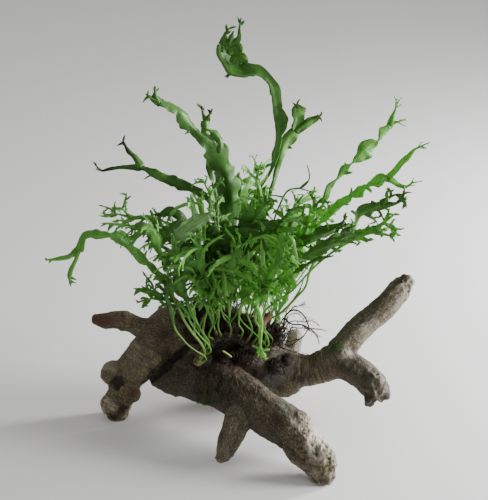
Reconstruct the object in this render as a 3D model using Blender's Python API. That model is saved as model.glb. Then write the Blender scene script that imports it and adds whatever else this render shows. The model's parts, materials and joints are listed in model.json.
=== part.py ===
"""A lace-leaved java fern grown onto branching driftwood, about 0.28 m tall.

Everything is laid out on a sheet that leans back by SHEET_LEAN and is looked at from a point
EYE_DISTANCE in front of its middle. A place is (across, up, back): millimetres to the right and up
on the sheet, and the real depth behind the sheet's middle, found along the line of sight.
"""

import math

import bmesh
import bpy
import numpy as np
from mathutils import Vector
from mathutils.bvhtree import BVHTree

# Driving dimensions, in metres unless a name says otherwise.
MM = 0.001
SHEET_LEAN = math.radians(24)
EYE_DISTANCE = 0.900
SHEET_MIDDLE_HEIGHT = 0.1044
BOX_MIDDLE = (-2.0, -37.55)   # plan position of the middle of the whole object's box, in mm

VOXEL = 0.0022           # grid that the limbs are fused on
WOOD_TRIANGLES = 2150    # left after thinning, before the saw cuts
SAW_CUT = 0.0003         # gap between neighbouring pieces of wood

# Driftwood: (across, up, back, radius) along each limb, in millimetres.
LIMBS = {
    "trunk": [(-60, -60, -26, 15), (-49, -56, -25, 18), (-33, -61, -28, 20),
              (-13, -67, -32, 20), (7, -73, -32, 18.5), (28, -82, -30, 14)],
    "front_log": [(-60, -87, -42, 6), (-50, -87, -43, 11), (-38, -85, -46, 15),
                  (-24, -88, -53, 16.5), (-7.5, -96.5, -69, 15), (11, -109, -84, 14),
                  (28, -120, -97, 13), (41.5, -134, -109, 12), (52, -144, -117, 10),
                  (55, -154, -122.5, 7)],
    "middle_peg": [(1, -105, -81, 10), (-8, -124, -96, 8), (-13, -137, -104, 5.5),
                   (-15, -142, -106, 3.5)],
    "left_limb": [(-62, -65, -28, 13.5), (-71, -77, -32, 12.3), (-80, -87, -36, 12),
                  (-83, -98, -40, 10), (-86, -106, -43, 9), (-86, -113, -46, 6.5)],
    "left_horn": [(-62, -56, -25, 10), (-69, -53.5, -25.5, 7.5), (-77.5, -49.5, -25.5, 6.3),
                  (-82, -48, -25.5, 6.9), (-86, -47.5, -25.5, 6.2), (-95, -48, -26.5, 5.2),
                  (-102, -47, -26, 3.2)],
    "right_limb": [(24, -80, -30, 15), (45, -81.5, -32, 10.6), (62, -76, -33, 11.3),
                   (70, -72, -33, 10.5)],
    "upper_right_branch": [(66, -69, -31, 10), (75.5, -57, -25, 8.8), (86, -47, -17, 8.5),
                           (98, -36, -8, 8.5), (107, -26, 1, 6.8), (111, -21, 5, 4.5)],
    "lower_right_stub": [(66, -76, -34, 11), (74, -80.5, -39, 10.5), (83, -87, -46, 9.5),
                         (88.5, -94, -53, 9.3), (89, -98, -56.5, 7.5)],
    "back_stub": [(29, -74, -22, 7), (32, -64, -17, 5.6), (33.5, -57, -14, 4.6)],
    "back_leg": [(24, -76, -26, 12), (28, -82, -19, 11), (31, -88, -10, 9.5),
                 (32, -93, -5, 7.5)],
}
KNOBS = {
    "left_limb": [(-88, -84, -38, 8.5), (-90, -105, -45, 6.2), (-76, -96, -42, 6)],
    "lower_right_stub": [(94.5, -98, -57, 4.2), (85, -102, -58, 4.5)],
    "front_log": [(36, -118, -98, 8), (55, -141, -116, 5)],
    "trunk": [(-46, -46, -20, 10), (-22, -60, -16, 12), (-54, -77, -37, 8), (28, -88, -33, 12.5)],
}

# Where each limb is sawn from its parent: distance along its centre line, in millimetres.
SAW_AT = {"front_log": 60, "middle_peg": 13, "left_limb": 26, "left_horn": 12, "right_limb": 16,
          "upper_right_branch": 13, "lower_right_stub": 12, "back_stub": 11, "back_leg": 22}
# A saw disc's radius over the limb's own.
SAW_REACH = {"front_log": 1.25, "middle_peg": 1.5, "left_limb": 1.7, "left_horn": 1.6, "right_limb": 1.4,
             "upper_right_branch": 1.5, "lower_right_stub": 1.5, "back_stub": 1.4, "back_leg": 1.5}
# Which row of each limb lies well inside its sawn piece.
INSIDE = {"trunk": 2, "front_log": 6, "middle_peg": 2, "left_limb": 4, "left_horn": 3, "right_limb": 2,
          "upper_right_branch": 3, "lower_right_stub": 2, "back_stub": 2, "back_leg": 2}
WOOD_BROWN = ((0.16, 0.11, 0.07), 0.85)
WOOD_PALE = ((0.38, 0.33, 0.27), 0.9)

# Rhizomes: plan positions (across, back) in millimetres, laid over the wood.
RHIZOMES = {
    "front": [(-28, -62), (-26, -54), (-19, -48), (-8, -46), (4, -46), (12, -45)],
    "middle": [(-24, -32), (-12, -33), (4, -35), (18, -34)],
    "back": [(-20, -18), (-4, -17), (10, -18), (20, -19)],
}
RHIZOME_RADIUS = 2.8
RHIZOME_LIFT = 6.6
STEM_GAP = 0.3
MAT_GAP = 0.8
MOUND_TRIANGLES = 600
MAT_TRIANGLES = 600
# The mat's lumps: (across, back, radius), each centred on the wood's upper side.
MAT_LUMPS = [(-38, -34, 7), (-32, -44, 7), (-30, -24, 7), (-22, -16, 7), (-24, -36, 8), (-20, -48, 7),
             (-12, -26, 8), (-10, -40, 8), (-4, -50, 7), (-4, -18, 7), (0, -32, 8), (6, -44, 7),
             (10, -22, 8), (14, -36, 8), (20, -46, 7), (21, -29, 7.5), (28, -40, 7), (-14, -56, 6),
             (-26, -58, 6), (-26, -58, 6.5)]
# The clump at the mat's right end, where the wiry roots start: (across, up, back, radius).
MAT_CLUMP = [(20, -70, -48, 5), (26, -68, -48, 5), (28, -61, -48, 4.5), (27, -54, -48, 4), (20, -75, -47, 6)]
WIRY_RADIUS = 0.6
WIRY_ROOTS = [
    [(27.2, -49, -48.6), (27.6, -46, -49), (30, -43, -50), (33, -41, -50), (37, -41.5, -51), (41, -45, -52),
     (43.5, -50, -52), (43.5, -54, -51), (41, -58, -49), (37.5, -60.5, -48.2), (33.4, -61.6, -48)],
    [(27.6, -46.2, -49), (32, -50, -54), (40, -51, -56), (46, -54, -56), (50, -59, -55), (51, -64, -54)],
    [(39.6, -51, -56), (44, -53, -58), (50, -54, -58), (54.5, -54.5, -58)],
]

# Fronds.
CURVE_STEP = 3.0
CREST_SPREAD = math.radians(30)
SIDE_CLEARANCE = 1.4
DEPTH_CLEARANCE = 2.0
WIDTH_CLEARANCE = 0.30
KNOT_STEP = 12.0
SPREAD_ROUNDS = 400
STEM_WIDTH = 2.8
BLADE_STATION = 12.0
STEM_STATION = 26.0
STATION_TURN = 32.0
BLADE_THICKNESS = 1.0
TOOTH = 0.18
DARK = (0.035, 0.11, 0.02)
LEAF = (0.06, 0.2, 0.03)
LIGHT = (0.16, 0.36, 0.05)
# name, rhizome, part of its length, lean in degrees, colour, twist, rows, arms, crest length
FRONDS = [
    ("tall_left", "middle", 0.28, 0, LEAF, 8,
     [(-9, -25, -36, 1.9), (-7.5, -5, -37, 2.4), (-6.8, 12, -38, 5), (-8, 25, -40, 9),
      (-9.5, 40, -43, 14), (-15, 56, -47, 15), (-22, 73, -51, 13), (-31, 80, -54, 11),
      (-39, 88, -57, 9.5), (-44, 94, -59, 8.5), (-51, 98, -61, 7.5), (-57, 101, -63, 6.5)],
     [[(-60, 105, -64, 4), (-60.5, 110, -64.5, 1.5)], [(-62, 103, -64, 4), (-66, 105.5, -65, 1.5)]], 0),
    ("behind_tall_left", "middle", 0.14, -20, DARK, 20,
     [(-14, -20, -27, 1.8), (-16, 10, -22, 2.2), (-19, 40, -18, 4), (-23, 65, -15, 5.5),
      (-25.5, 80, -13, 5), (-25.5, 88, -12, 4.5)],
     [[(-28, 93, -11, 2.5), (-28.5, 98, -10, 1.2)], [(-23.5, 92, -12, 2.5), (-21.5, 96, -12, 1.2)]], 0),
    ("dark_left_arm", "middle", 0.04, -30, DARK, 15,
     [(-15, -30, -30, 1.8), (-12, -8, -26, 2.4), (-11, 12, -22, 5), (-20, 30, -16, 7.5),
      (-30.6, 39, -10, 8), (-40, 44, -5, 7.5), (-51, 48, 0, 7.5), (-62, 53, 4, 7),
      (-70, 56.5, 7, 6)],
     [[(-74, 63, 9, 4), (-79, 68, 11, 3.5), (-82.5, 75, 13, 1.5)],
      [(-78, 57, 9, 4), (-92, 55, 12, 3), (-97, 54, 13, 2.4), (-101, 58, 14, 1.2)]], 0),
    ("wispy_upper_left", "front", 0.42, 10, LEAF, 20,
     [(-19, -30, -58, 1.8), (-22, -10, -60, 2), (-25, 10, -60, 2.2), (-23.5, 25, -60, 2.6),
      (-23, 38, -60, 3)], None, 10),
    ("bright_upper_left", "front", 0.34, 25, LIGHT, -15,
     [(-24, -36, -64, 1.8), (-26, -20, -68, 2), (-27, 5, -70, 2.6), (-28, 22, -70, 3.5),
      (-30, 32, -70, 4)], None, 7),
    ("glossy_curled", "front", 0.26, 5, LIGHT, -25,
     [(-34, -40, -66, 2), (-44, -20, -72, 2.4), (-48, -2, -76, 5), (-45, 8, -77, 8),
      (-38, 16, -77, 9), (-30, 21, -76, 7), (-24, 24, -75, 4)], None, 5),
    ("long_drooping_left", "front", 0.16, 25, LEAF, 10,
     [(-35, -42, -62, 2), (-42, -30.6, -65, 3), (-53, -20, -69, 4.5), (-60.5, -13, -72, 5.5),
      (-68.7, -6, -74, 6.5), (-76, 0.7, -77, 7), (-81, 6, -79, 7), (-88, 9.5, -81, 7),
      (-95, 11, -83, 6.5), (-101, 12.2, -84, 6), (-107, 11, -85, 5.5), (-111, 5.4, -86, 5),
      (-113, -0.7, -87, 5)],
     [[(-119.7, -4.8, -88, 4), (-126.5, -6, -89, 3.5), (-135, -6.8, -90, 1.5)],
      [(-114.5, -7, -87.5, 3.5), (-117, -12, -88, 3.5), (-119, -19, -88, 3), (-117, -23, -88, 1.3)]], 0),
    ("arching_front_left", "front", 0.06, 35, LEAF, 10,
     [(-35, -56, -72, 2.6), (-41.5, -45.6, -76, 2.6), (-47.6, -32, -79, 2.6), (-51, -19, -81, 2.8),
      (-53.7, -9, -82, 3), (-57.8, 1.4, -83, 4), (-59, 7, -84, 5), (-64, 16, -85, 5.5),
      (-70, 17.7, -86, 5), (-74, 15.5, -87, 4)], None, 6),
    ("lacy_far_left", "middle", 0.0, -40, LEAF, 15,
     [(-30, -20, -42, 1.8), (-46, 6, -46, 2), (-57, 17, -49, 2.6), (-64, 22, -51, 4),
      (-70, 22, -52, 4), (-76, 22, -53, 3.5)],
     [[(-81, 26, -54, 2), (-83, 29, -54, 1)], [(-82, 23.5, -54, 2.5), (-88, 25, -55, 1)]], 0),
    ("dark_arch_left", "middle", 0.09, 10, DARK, 20,
     [(-26, -20, -40, 1.8), (-37, 5, -42, 2), (-39.4, 17, -44, 4), (-45, 23, -46, 5),
      (-50, 26.5, -47, 5), (-56, 24, -48, 4)], None, 6),
    ("low_left", "front", 0.12, 55, LEAF, 10,
     [(-36, -50, -72, 1.6), (-42, -39, -76, 2), (-49, -34.7, -79, 3), (-55, -33, -81, 4)],
     [[(-60, -28, -82, 2.5), (-63.5, -25, -83, 1)], [(-62, -33, -82, 2.5), (-68, -34, -83, 1)]], 0),
    ("curled_low_left", "front", 0.0, 50, DARK, 15,
     [(-40, -62, -78, 1.6), (-45.6, -56, -82, 2), (-48.3, -48, -85, 2.5), (-49, -40, -87, 4),
      (-51.7, -34, -88, 4), (-53, -29, -88, 3)], None, 4),
    ("tall_curl", "middle", 0.5, 0, DARK, 10,
     [(-1, -25, -37, 2), (3, 0, -39, 2.5), (8, 25, -41, 4), (13, 43, -43, 6), (19.7, 55, -44, 7.5),
      (22.4, 67, -44, 8.5), (23.8, 78, -45, 9), (23.8, 90, -45, 9.5), (22.4, 100.6, -46, 10),
      (21, 109, -46, 10), (17.7, 115, -46, 10), (14, 119, -46, 9.5), (10, 122, -46, 9),
      (4.8, 122.6, -46, 8.5), (0, 122.6, -46, 8.5), (-5.4, 124.6, -46, 9.5), (-9.5, 129, -46, 10),
      (-12.9, 134.5, -46, 9), (-13.8, 140, -46, 7)],
     [[(-13.5, 146, -46, 3.5), (-9.5, 151, -46, 1.3)],
      [(-9, 141, -46, 4.5), (-5, 143, -46, 4), (-3, 151, -46, 2.5), (-2, 158, -46, 1.2)]], 0),
    ("right_of_tall", "middle", 0.62, -10, LEAF, -12,
     [(4, -25, -34, 1.9), (11, 5, -30, 2.4), (16, 30, -26, 4), (20.4, 47.6, -22, 6), (23, 57, -20, 7),
      (27, 67, -17, 7.5), (31, 75, -14, 7.5), (35, 81, -12, 7)],
     [[(37, 90, -10, 3.5), (36, 99, -9, 1.2)],
      [(43.5, 86.5, -10, 6.5), (48, 89, -8, 5), (53, 92, -7, 1.5)]], 0),
    ("right_upper", "middle", 0.84, -15, LIGHT, 10,
     [(16, -35, -30, 1.8), (30, -15, -24, 2), (40, 2, -18, 2.4), (46.2, 11.6, -13, 3),
      (51.7, 24, -8, 3.5), (55.8, 35, -4, 4.5), (59, 43.5, 0, 6.5), (65, 50, 3, 7.5),
      (68.7, 55, 5, 6.5), (73.4, 59, 7, 6), (79, 64, 10, 7), (84, 69, 12, 9), (91, 74, 15, 8),
      (95, 80, 18, 6.5), (99, 84.5, 20, 5.5)],
     [[(102, 93, 22, 3), (104.5, 100.5, 24, 1.2)], [(102, 86.5, 21, 3.5), (107, 87.5, 22, 1.2)]], 0),
    ("right_middle", "middle", 0.94, 10, LEAF, -10,
     [(22, -38, -38, 1.8), (33, -18, -40, 2), (40, 0, -42, 2.4), (45, 11.6, -43, 3),
      (51.7, 19, -44, 3.5), (59, 26.5, -45, 4), (66, 32, -46, 4.5), (73, 36.7, -47, 4.5),
      (80, 41, -48, 4.8), (87, 46, -49, 5), (92, 49, -50, 5), (97, 49.5, -50, 5)],
     [[(101, 52, -50, 4.5), (106, 58.5, -51, 4), (111, 63, -51, 3.5), (115.6, 68, -52, 2.8),
       (121, 71, -52, 1.2)],
      [(101, 47, -51, 4), (105, 44.5, -51, 3.5), (110, 43, -52, 3), (115.5, 46.5, -52, 1.2)]], 0),
    ("right_lacy", "front", 1.0, 10, DARK, 10,
     [(14, -52, -56, 1.8), (26, -42, -60, 2), (36, -33, -62, 2.2), (42, -24.5, -64, 2.4),
      (44.5, -15.6, -66, 2.6), (49.6, -6, -67, 3), (57, 0.7, -69, 4), (65, 7, -70, 5.5),
      (75, 14.5, -72, 6), (79.6, 23.5, -73, 6), (87, 28, -74, 6), (94, 30.6, -75, 5)],
     [[(99, 36, -76, 3), (104.5, 38, -77, 1.2)], [(101, 31, -76, 3.5), (108.5, 34, -77, 1.2)]], 0),
    ("right_lacy_low", "front", 0.9, 25, LEAF, 20,
     [(12, -48, -62, 1.8), (34, -26, -70, 2), (58, -3, -74, 2.4), (72, 6, -76, 3), (82, 12, -77, 4),
      (89, 15, -78, 4)],
     [[(95, 18, -78, 3), (101, 17, -79, 1)], [(95, 11, -79, 3), (103, 9, -80, 1)]], 0),
    ("broad_right", "middle", 0.78, 5, DARK, 15,
     [(14, -30, -46, 1.8), (28, -8, -50, 3), (38, 5, -53, 6), (48, 9, -55, 7), (59, 13, -57, 6),
      (66, 17, -58, 4)], None, 6),
    ("broad_right_low", "front", 0.8, 20, DARK, 15,
     [(10, -40, -66, 1.8), (30, -14, -74, 3), (45.6, -2, -78, 5), (61, 4, -81, 5.5), (70, 10, -82, 4.5)],
     None, 7),
    ("short_right", "middle", 1.0, 20, LIGHT, 10,
     [(22, -46, -44, 1.8), (25, -39.5, -48, 2.4), (28.6, -33, -51, 3.5), (29.5, -27, -53, 3.5)], None, 5),
    ("pale_drooping_front", "front", 0.66, 35, LIGHT, 5,
     [(-3, -50, -66, 1.8), (-2, -38, -74, 2.4), (1.4, -32.5, -78, 3), (5.4, -35, -80, 4),
      (9.5, -41, -82, 4.5), (11.6, -49, -83, 4.5), (11.6, -55, -84, 4), (11, -61, -85, 3.5),
      (11, -66, -86, 3)], None, 6),
    ("bright_lacy_centre", "front", 0.46, 25, LIGHT, -10,
     [(-17, -46, -66, 1.8), (-18, -28, -76, 2), (-18, -16, -82, 3), (-14, -10, -84, 4),
      (-6, -11, -85, 4.5), (0, -14, -86, 3.5)], None, 6),
    ("lacy_upper_centre", "middle", 0.42, 10, LEAF, 10,
     [(-3, -20, -46, 1.8), (3, 10, -50, 2.2), (12, 28, -53, 3), (11, 38, -54, 3.5),
      (8.5, 48, -55, 3.5)], None, 9),
    ("star_lacy", "middle", 0.7, 10, LEAF, 10,
     [(8, -28, -48, 1.8), (17, -2, -56, 2), (23, 14, -59, 2.4), (26.5, 21, -60, 3)], None, 8),
    ("wire_upper_right", "back", 0.7, 10, DARK, 15,
     [(12, -20, -24, 1.8), (18, 10, -22, 1.8), (24, 30, -21, 2), (31, 41, -20, 2), (38, 42, -19, 2.2)],
     None, 9),
    ("dark_across", "front", 0.3, 0, DARK, 12,
     [(-21, -34, -58, 1.8), (-17, -8, -64, 3), (-10, 9, -68, 6), (2.7, 13.6, -70, 7),
      (14, 15.5, -71, 6), (22, 17, -71, 3)], None, 4),
    ("broad_green_centre", "middle", 0.55, 15, LEAF, 10,
     [(1, -24, -52, 1.8), (-1, 0, -60, 3), (3, 15.6, -63, 7), (10, 25, -65, 7), (15, 32, -66, 4)],
     None, 5),
    ("arching_right_centre", "front", 0.74, 20, LIGHT, 10,
     [(0, -34, -68, 1.8), (2, -8, -76, 2.6), (8, 7, -79, 4), (16, 9, -81, 5.5), (26, 4, -83, 5.5),
      (34, -5.4, -84, 3.5)], None, 5),
    ("pale_right_centre", "front", 0.85, 5, LIGHT, 5,
     [(8, -36, -64, 1.8), (20, -8, -72, 2), (27, 8, -76, 4), (31, 8.5, -77, 5.5), (34, 1, -78, 4.5),
      (36, -5, -78, 3)], None, 4),
    ("light_right", "middle", 0.9, 0, LIGHT, 10,
     [(20, -28, -46, 1.8), (34, -2, -50, 2.2), (42, 14, -53, 4), (46, 24, -54, 5), (48, 30, -55, 4)],
     None, 8),
    ("broad_stem_left", "front", 0.2, 45, LEAF, 5,
     [(-34, -46, -72, 2.4), (-38, -36, -77, 3), (-42, -26, -80, 5), (-45, -14, -82, 5),
      (-47, -6, -83, 3)], None, 6),
    ("front_low_left", "front", 0.38, 40, LEAF, 30,
     [(-21, -50, -72, 1.8), (-25, -28, -82, 3), (-29, -10, -88, 5), (-31, 2, -91, 4)], None, 9),
    ("front_low_centre", "front", 0.54, 40, LEAF, -30,
     [(-10, -48, -72, 1.8), (-10, -22, -84, 3), (-7, -6, -90, 5), (-3, 2, -92, 4)], None, 9),
    ("front_low_right", "front", 0.94, 45, LEAF, 30,
     [(8, -46, -74, 1.8), (14, -26, -86, 3), (20, -13, -91, 4.5), (26, -6, -93, 3.5)], None, 9),
    ("back_left", "back", 0.05, -30, LEAF, 45,
     [(-24, -20, -8, 1.8), (-34, 0, 6, 3), (-42, 10, 18, 5), (-50, 15, 28, 5), (-56, 17, 36, 4)],
     None, 8),
    ("back_centre", "back", 0.35, -25, DARK, 55,
     [(-6, -14, -6, 1.8), (-8, 14, 8, 3), (-10, 36, 20, 7), (-12, 48, 30, 7), (-15, 56, 38, 5)],
     None, 8),
    ("back_right", "back", 0.8, -30, LEAF, -45,
     [(20, -20, -4, 1.8), (31, 2, 10, 3), (40, 16, 22, 6), (50, 22, 32, 6), (56, 26, 40, 4)], None, 8),
    ("back_low_left", "back", 0.18, -50, LEAF, 40,
     [(-18, -24, 2, 1.8), (-26, -8, 18, 3), (-32, 0, 34, 5), (-38, 2, 46, 4)], None, 8),
    ("back_low_right", "back", 0.94, -45, DARK, -40,
     [(25, -32, 0, 1.8), (30, -15, 16, 3), (35, -7, 32, 5), (44, -2, 42, 4)], None, 8),
    ("back_upper", "back", 0.55, -5, LEAF, 35,
     [(3, -14, -12, 1.8), (1, 14, -6, 3), (0, 32, 0, 6), (4, 46, 5, 6), (8, 54, 8, 4)], None, 8),
    ("middle_left", "middle", 0.36, 15, LEAF, 40,
     [(-9, -22, -46, 1.8), (-14, 2, -52, 3), (-19, 18, -56, 5), (-20, 28, -58, 4)], None, 8),
    ("middle_right", "back", 0.88, 15, LEAF, 40,
     [(18, -26, -20, 1.8), (27, 0, -20, 2.4), (33, 18, -20, 4), (36, 32, -20, 4)], None, 9),
]


def place(points):
    """World positions in metres of (across, up, back) rows in millimetres."""
    across, up, back = np.asarray(points, float).T * MM
    eye_y = -EYE_DISTANCE * math.cos(SHEET_LEAN)
    eye_z = SHEET_MIDDLE_HEIGHT + EYE_DISTANCE * math.sin(SHEET_LEAN)
    sight_y = up * math.sin(SHEET_LEAN) - eye_y
    reach = (back - eye_y) / sight_y
    sight_z = up * math.cos(SHEET_LEAN) - EYE_DISTANCE * math.sin(SHEET_LEAN)
    return np.stack([across * reach, back, eye_z + reach * sight_z], axis=1)


def smooth_rows(rows, spacing):
    """A smooth curve through rows, whose first three columns are a place, sampled evenly."""
    rows = np.asarray(rows, float)
    chord = np.linalg.norm(np.diff(rows[:, :3], axis=0), axis=1)
    reached = np.concatenate([[0], np.cumsum(chord)])
    slope = np.diff(rows, axis=0) / chord[:, None]
    before, after = chord[:-1, None], chord[1:, None]
    inner = (slope[:-1] * after + slope[1:] * before) / (before + after)
    lean = np.vstack([slope[:1], inner, slope[-1:]])
    way = np.linspace(0, reached[-1], max(3, round(reached[-1] / spacing) + 1))
    part = np.clip(np.searchsorted(reached, way, side="right") - 1, 0, len(chord) - 1)
    span = chord[part][:, None]
    t = (way[:, None] - reached[part][:, None]) / span
    return ((2 * t ** 3 - 3 * t ** 2 + 1) * rows[part] + (3 * t ** 2 - 2 * t ** 3) * rows[part + 1]
            + (t ** 3 - 2 * t ** 2 + t) * span * lean[part]
            + (t ** 3 - t ** 2) * span * lean[part + 1])


def directions(path):
    """Unit tangents along a path of points."""
    steps = np.gradient(path, axis=0)
    return steps / np.linalg.norm(steps, axis=1)[:, None]


def cross_frames(path):
    """Two unit vectors across a path at each point, carried along without twisting."""
    along = directions(path)
    side = np.cross(along[0], (0.3, 0.5, 0.81))
    sides = []
    for tangent in along:
        side = side - tangent * side.dot(tangent)
        side = side / np.linalg.norm(side)
        sides.append(side)
    sides = np.array(sides)
    return sides, np.cross(along, sides)


def tube_mesh(name, path, radii, corners, ridges=0.0, phase=0.0):
    """A closed tube with round ends, its radius varied round and along it by ridges."""
    radii = np.asarray(radii, float)
    along = directions(path)
    ends = np.radians((80, 55, 28))
    head = [(path[0] - along[0] * radii[0] * math.sin(a) * 0.7, radii[0] * math.cos(a)) for a in ends]
    tail = [(path[-1] + along[-1] * radii[-1] * math.sin(a) * 0.7, radii[-1] * math.cos(a))
            for a in ends[::-1]]
    path = np.vstack([[p for p, _ in head], path, [p for p, _ in tail]])
    radii = np.concatenate([[r for _, r in head], radii, [r for _, r in tail]])
    side, other = cross_frames(path)
    around = np.arange(corners) * 2 * math.pi / corners
    travel = np.arange(len(path))[:, None]
    relief = (np.sin(3 * around + 0.21 * travel + phase)
              + 0.8 * np.sin(5 * around - 0.33 * travel + 2.3 * phase)
              + 0.6 * np.sin(2 * around + 0.55 * travel + 4.1 * phase))
    spread = radii[:, None] * (1 + ridges * relief)
    rings = (path[:, None] + spread[..., None] * (np.cos(around)[None, :, None] * side[:, None]
                                                  + np.sin(around)[None, :, None] * other[:, None]))
    points = np.vstack([rings.reshape(-1, 3), path[:1], path[-1:]])
    faces = []
    for ring in range(len(path) - 1):
        for corner in range(corners):
            here = ring * corners + corner
            beside = ring * corners + (corner + 1) % corners
            faces.append((here, beside, beside + corners, here + corners))
    first_pole, last_pole = len(points) - 2, len(points) - 1
    last_ring = (len(path) - 1) * corners
    for corner in range(corners):
        beside = (corner + 1) % corners
        faces.append((first_pole, beside, corner))
        faces.append((last_pole, last_ring + corner, last_ring + beside))
    mesh = bpy.data.meshes.new(name)
    mesh.from_pydata(points.tolist(), [], faces)
    face_outward(mesh)
    return mesh


def face_outward(mesh):
    shape = bmesh.new()
    shape.from_mesh(mesh)
    bmesh.ops.recalc_face_normals(shape, faces=shape.faces)
    shape.to_mesh(mesh)
    shape.free()


def limb_meshes(name, number):
    """The limb's tube and its knobs, as closed meshes that overlap."""
    rows = smooth_rows(LIMBS[name], 4.0)
    meshes = [tube_mesh(name, place(rows[:, :3]), rows[:, 3] * MM, 18, 0.035, 1.7 * number)]
    for knob in KNOBS.get(name, ()):
        shape = bmesh.new()
        bmesh.ops.create_icosphere(shape, subdivisions=3, radius=knob[3] * MM)
        bmesh.ops.translate(shape, verts=shape.verts, vec=place([knob[:3]])[0])
        meshes.append(bpy.data.meshes.new(name + "_knob"))
        shape.to_mesh(meshes[-1])
        shape.free()
    return meshes


def joined(name, meshes):
    """One object that holds all the meshes."""
    whole = bmesh.new()
    for mesh in meshes:
        whole.from_mesh(mesh)
        bpy.data.meshes.remove(mesh)
    mesh = bpy.data.meshes.new(name)
    whole.to_mesh(mesh)
    whole.free()
    obj = bpy.data.objects.new(name, mesh)
    bpy.context.scene.collection.objects.link(obj)
    return obj


def settled(obj):
    """Gives the object the mesh that its modifiers make, and removes them."""
    bpy.context.view_layer.update()
    shown = obj.evaluated_get(bpy.context.evaluated_depsgraph_get())
    mesh = bpy.data.meshes.new_from_object(shown)
    obj.modifiers.clear()
    old = obj.data
    obj.data = mesh
    bpy.data.meshes.remove(old)
    return obj


def fused_wood():
    """All limbs fused on a voxel grid, smoothed and thinned."""
    meshes = []
    for number, name in enumerate(LIMBS):
        meshes += limb_meshes(name, number)
    wood = joined("driftwood", meshes)
    skin = wood.modifiers.new("skin", "REMESH")
    skin.mode = "VOXEL"
    skin.voxel_size = VOXEL
    even = wood.modifiers.new("even", "SMOOTH")
    even.factor = 0.5
    even.iterations = 3
    settled(wood)
    thin = wood.modifiers.new("thin", "DECIMATE")
    thin.ratio = WOOD_TRIANGLES / (2 * len(wood.data.polygons))
    return settled(wood)


def search_tree(mesh):
    """A tree that finds where lines meet the mesh."""
    faces = [tuple(face.vertices) for face in mesh.polygons]
    return BVHTree.FromPolygons([vertex.co for vertex in mesh.vertices], faces)


def dropped(tree, across, back, lift):
    """The point lift off the wood's upper side at a plan position, all in millimetres."""
    hit, facing = tree.ray_cast(Vector((across * MM, back * MM, 0.2)), Vector((0, 0, -1)))[:2]
    return np.array(hit + facing * lift * MM)


def plain_object(name, mesh, colour, roughness):
    """Links a named piece with its own material."""
    finish = bpy.data.materials.new(name)
    finish.use_nodes = True
    surface = finish.node_tree.nodes["Principled BSDF"]
    surface.inputs["Base Color"].default_value = (*colour, 1)
    surface.inputs["Roughness"].default_value = roughness
    surface.inputs["Metallic"].default_value = 0.0
    finish.diffuse_color = (*colour, 1)
    mesh.materials.clear()
    mesh.materials.append(finish)
    obj = bpy.data.objects.new(name, mesh)
    bpy.context.scene.collection.objects.link(obj)
    return obj


def cut(obj, cutter, operation="DIFFERENCE"):
    """Applies an exact Boolean and removes the cutter."""
    step = obj.modifiers.new("cut", "BOOLEAN")
    step.operation = operation
    step.solver = "EXACT"
    step.object = cutter
    settled(obj)
    bpy.data.objects.remove(cutter)
    return obj


def swollen(obj, distance):
    """A copy of the object with its surface pushed outward."""
    mesh = obj.data.copy()
    moved = [v.co + v.normal * distance for v in mesh.vertices]
    mesh.vertices.foreach_set("co", np.array(moved, float).ravel())
    copy = bpy.data.objects.new(obj.name + "_swollen", mesh)
    bpy.context.scene.collection.objects.link(copy)
    return copy


def box_below(depth):
    """A wide slab whose top face is the ground."""
    shape = bmesh.new()
    bmesh.ops.create_cube(shape, size=1.0)
    bmesh.ops.scale(shape, verts=shape.verts, vec=(1, 1, depth))
    bmesh.ops.translate(shape, verts=shape.verts, vec=(0, 0, -depth / 2))
    mesh = bpy.data.meshes.new("ground")
    shape.to_mesh(mesh)
    shape.free()
    slab = bpy.data.objects.new("ground", mesh)
    bpy.context.scene.collection.objects.link(slab)
    return slab


def saw_disc(name, reach):
    """A thin disc across a limb, where it leaves its parent."""
    rows = smooth_rows(LIMBS[name], 1.0)
    path = place(rows[:, :3])
    travel = np.concatenate([[0], np.cumsum(np.linalg.norm(np.diff(path, axis=0), axis=1))])
    at = int(np.searchsorted(travel, reach * MM))
    radius = rows[at, 3] * MM * SAW_REACH[name]
    shape = bmesh.new()
    bmesh.ops.create_cone(shape, cap_ends=True, segments=12, depth=SAW_CUT, radius1=radius,
                          radius2=radius)
    turn = Vector(directions(path)[at]).to_track_quat("Z", "Y").to_matrix()
    bmesh.ops.rotate(shape, verts=shape.verts, matrix=turn)
    bmesh.ops.translate(shape, verts=shape.verts, vec=path[at])
    mesh = bpy.data.meshes.new(name + "_saw")
    shape.to_mesh(mesh)
    shape.free()
    disc = bpy.data.objects.new(name + "_saw", mesh)
    bpy.context.scene.collection.objects.link(disc)
    return disc


def loose_parts(mesh):
    """Meshes of the connected parts of a mesh, largest first."""
    shape = bmesh.new()
    shape.from_mesh(mesh)
    left = set(shape.verts)
    groups = []
    while left:
        front = [left.pop()]
        group = set(front)
        while front:
            for edge in front.pop().link_edges:
                for vertex in edge.verts:
                    if vertex in left:
                        left.remove(vertex)
                        group.add(vertex)
                        front.append(vertex)
        groups.append(group)
    parts = []
    for group in sorted(groups, key=len, reverse=True):
        number = {vertex: index for index, vertex in enumerate(sorted(group, key=lambda v: v.index))}
        faces = [[number[v] for v in face.verts] for face in shape.faces if face.verts[0] in group]
        part = bpy.data.meshes.new("part")
        part.from_pydata([tuple(v.co) for v in number], [], faces)
        parts.append(part)
    shape.free()
    return parts


def sawn_limbs(wood):
    """Saws the wood at its forks, and names the piece that each limb's middle lies in."""
    for name, reach in SAW_AT.items():
        cut(wood, saw_disc(name, reach))
    parts = loose_parts(wood.data)
    bpy.data.objects.remove(wood)
    for name, rows in LIMBS.items():
        inside = Vector(place([rows[INSIDE[name]][:3]])[0])
        found = [part for part in parts if encloses(search_tree(part), inside)][0]
        parts.remove(found)
        plain_object(name, found, *(WOOD_PALE if name == "back_stub" else WOOD_BROWN))
    print("pieces of wood without a name:", len(parts))


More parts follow.
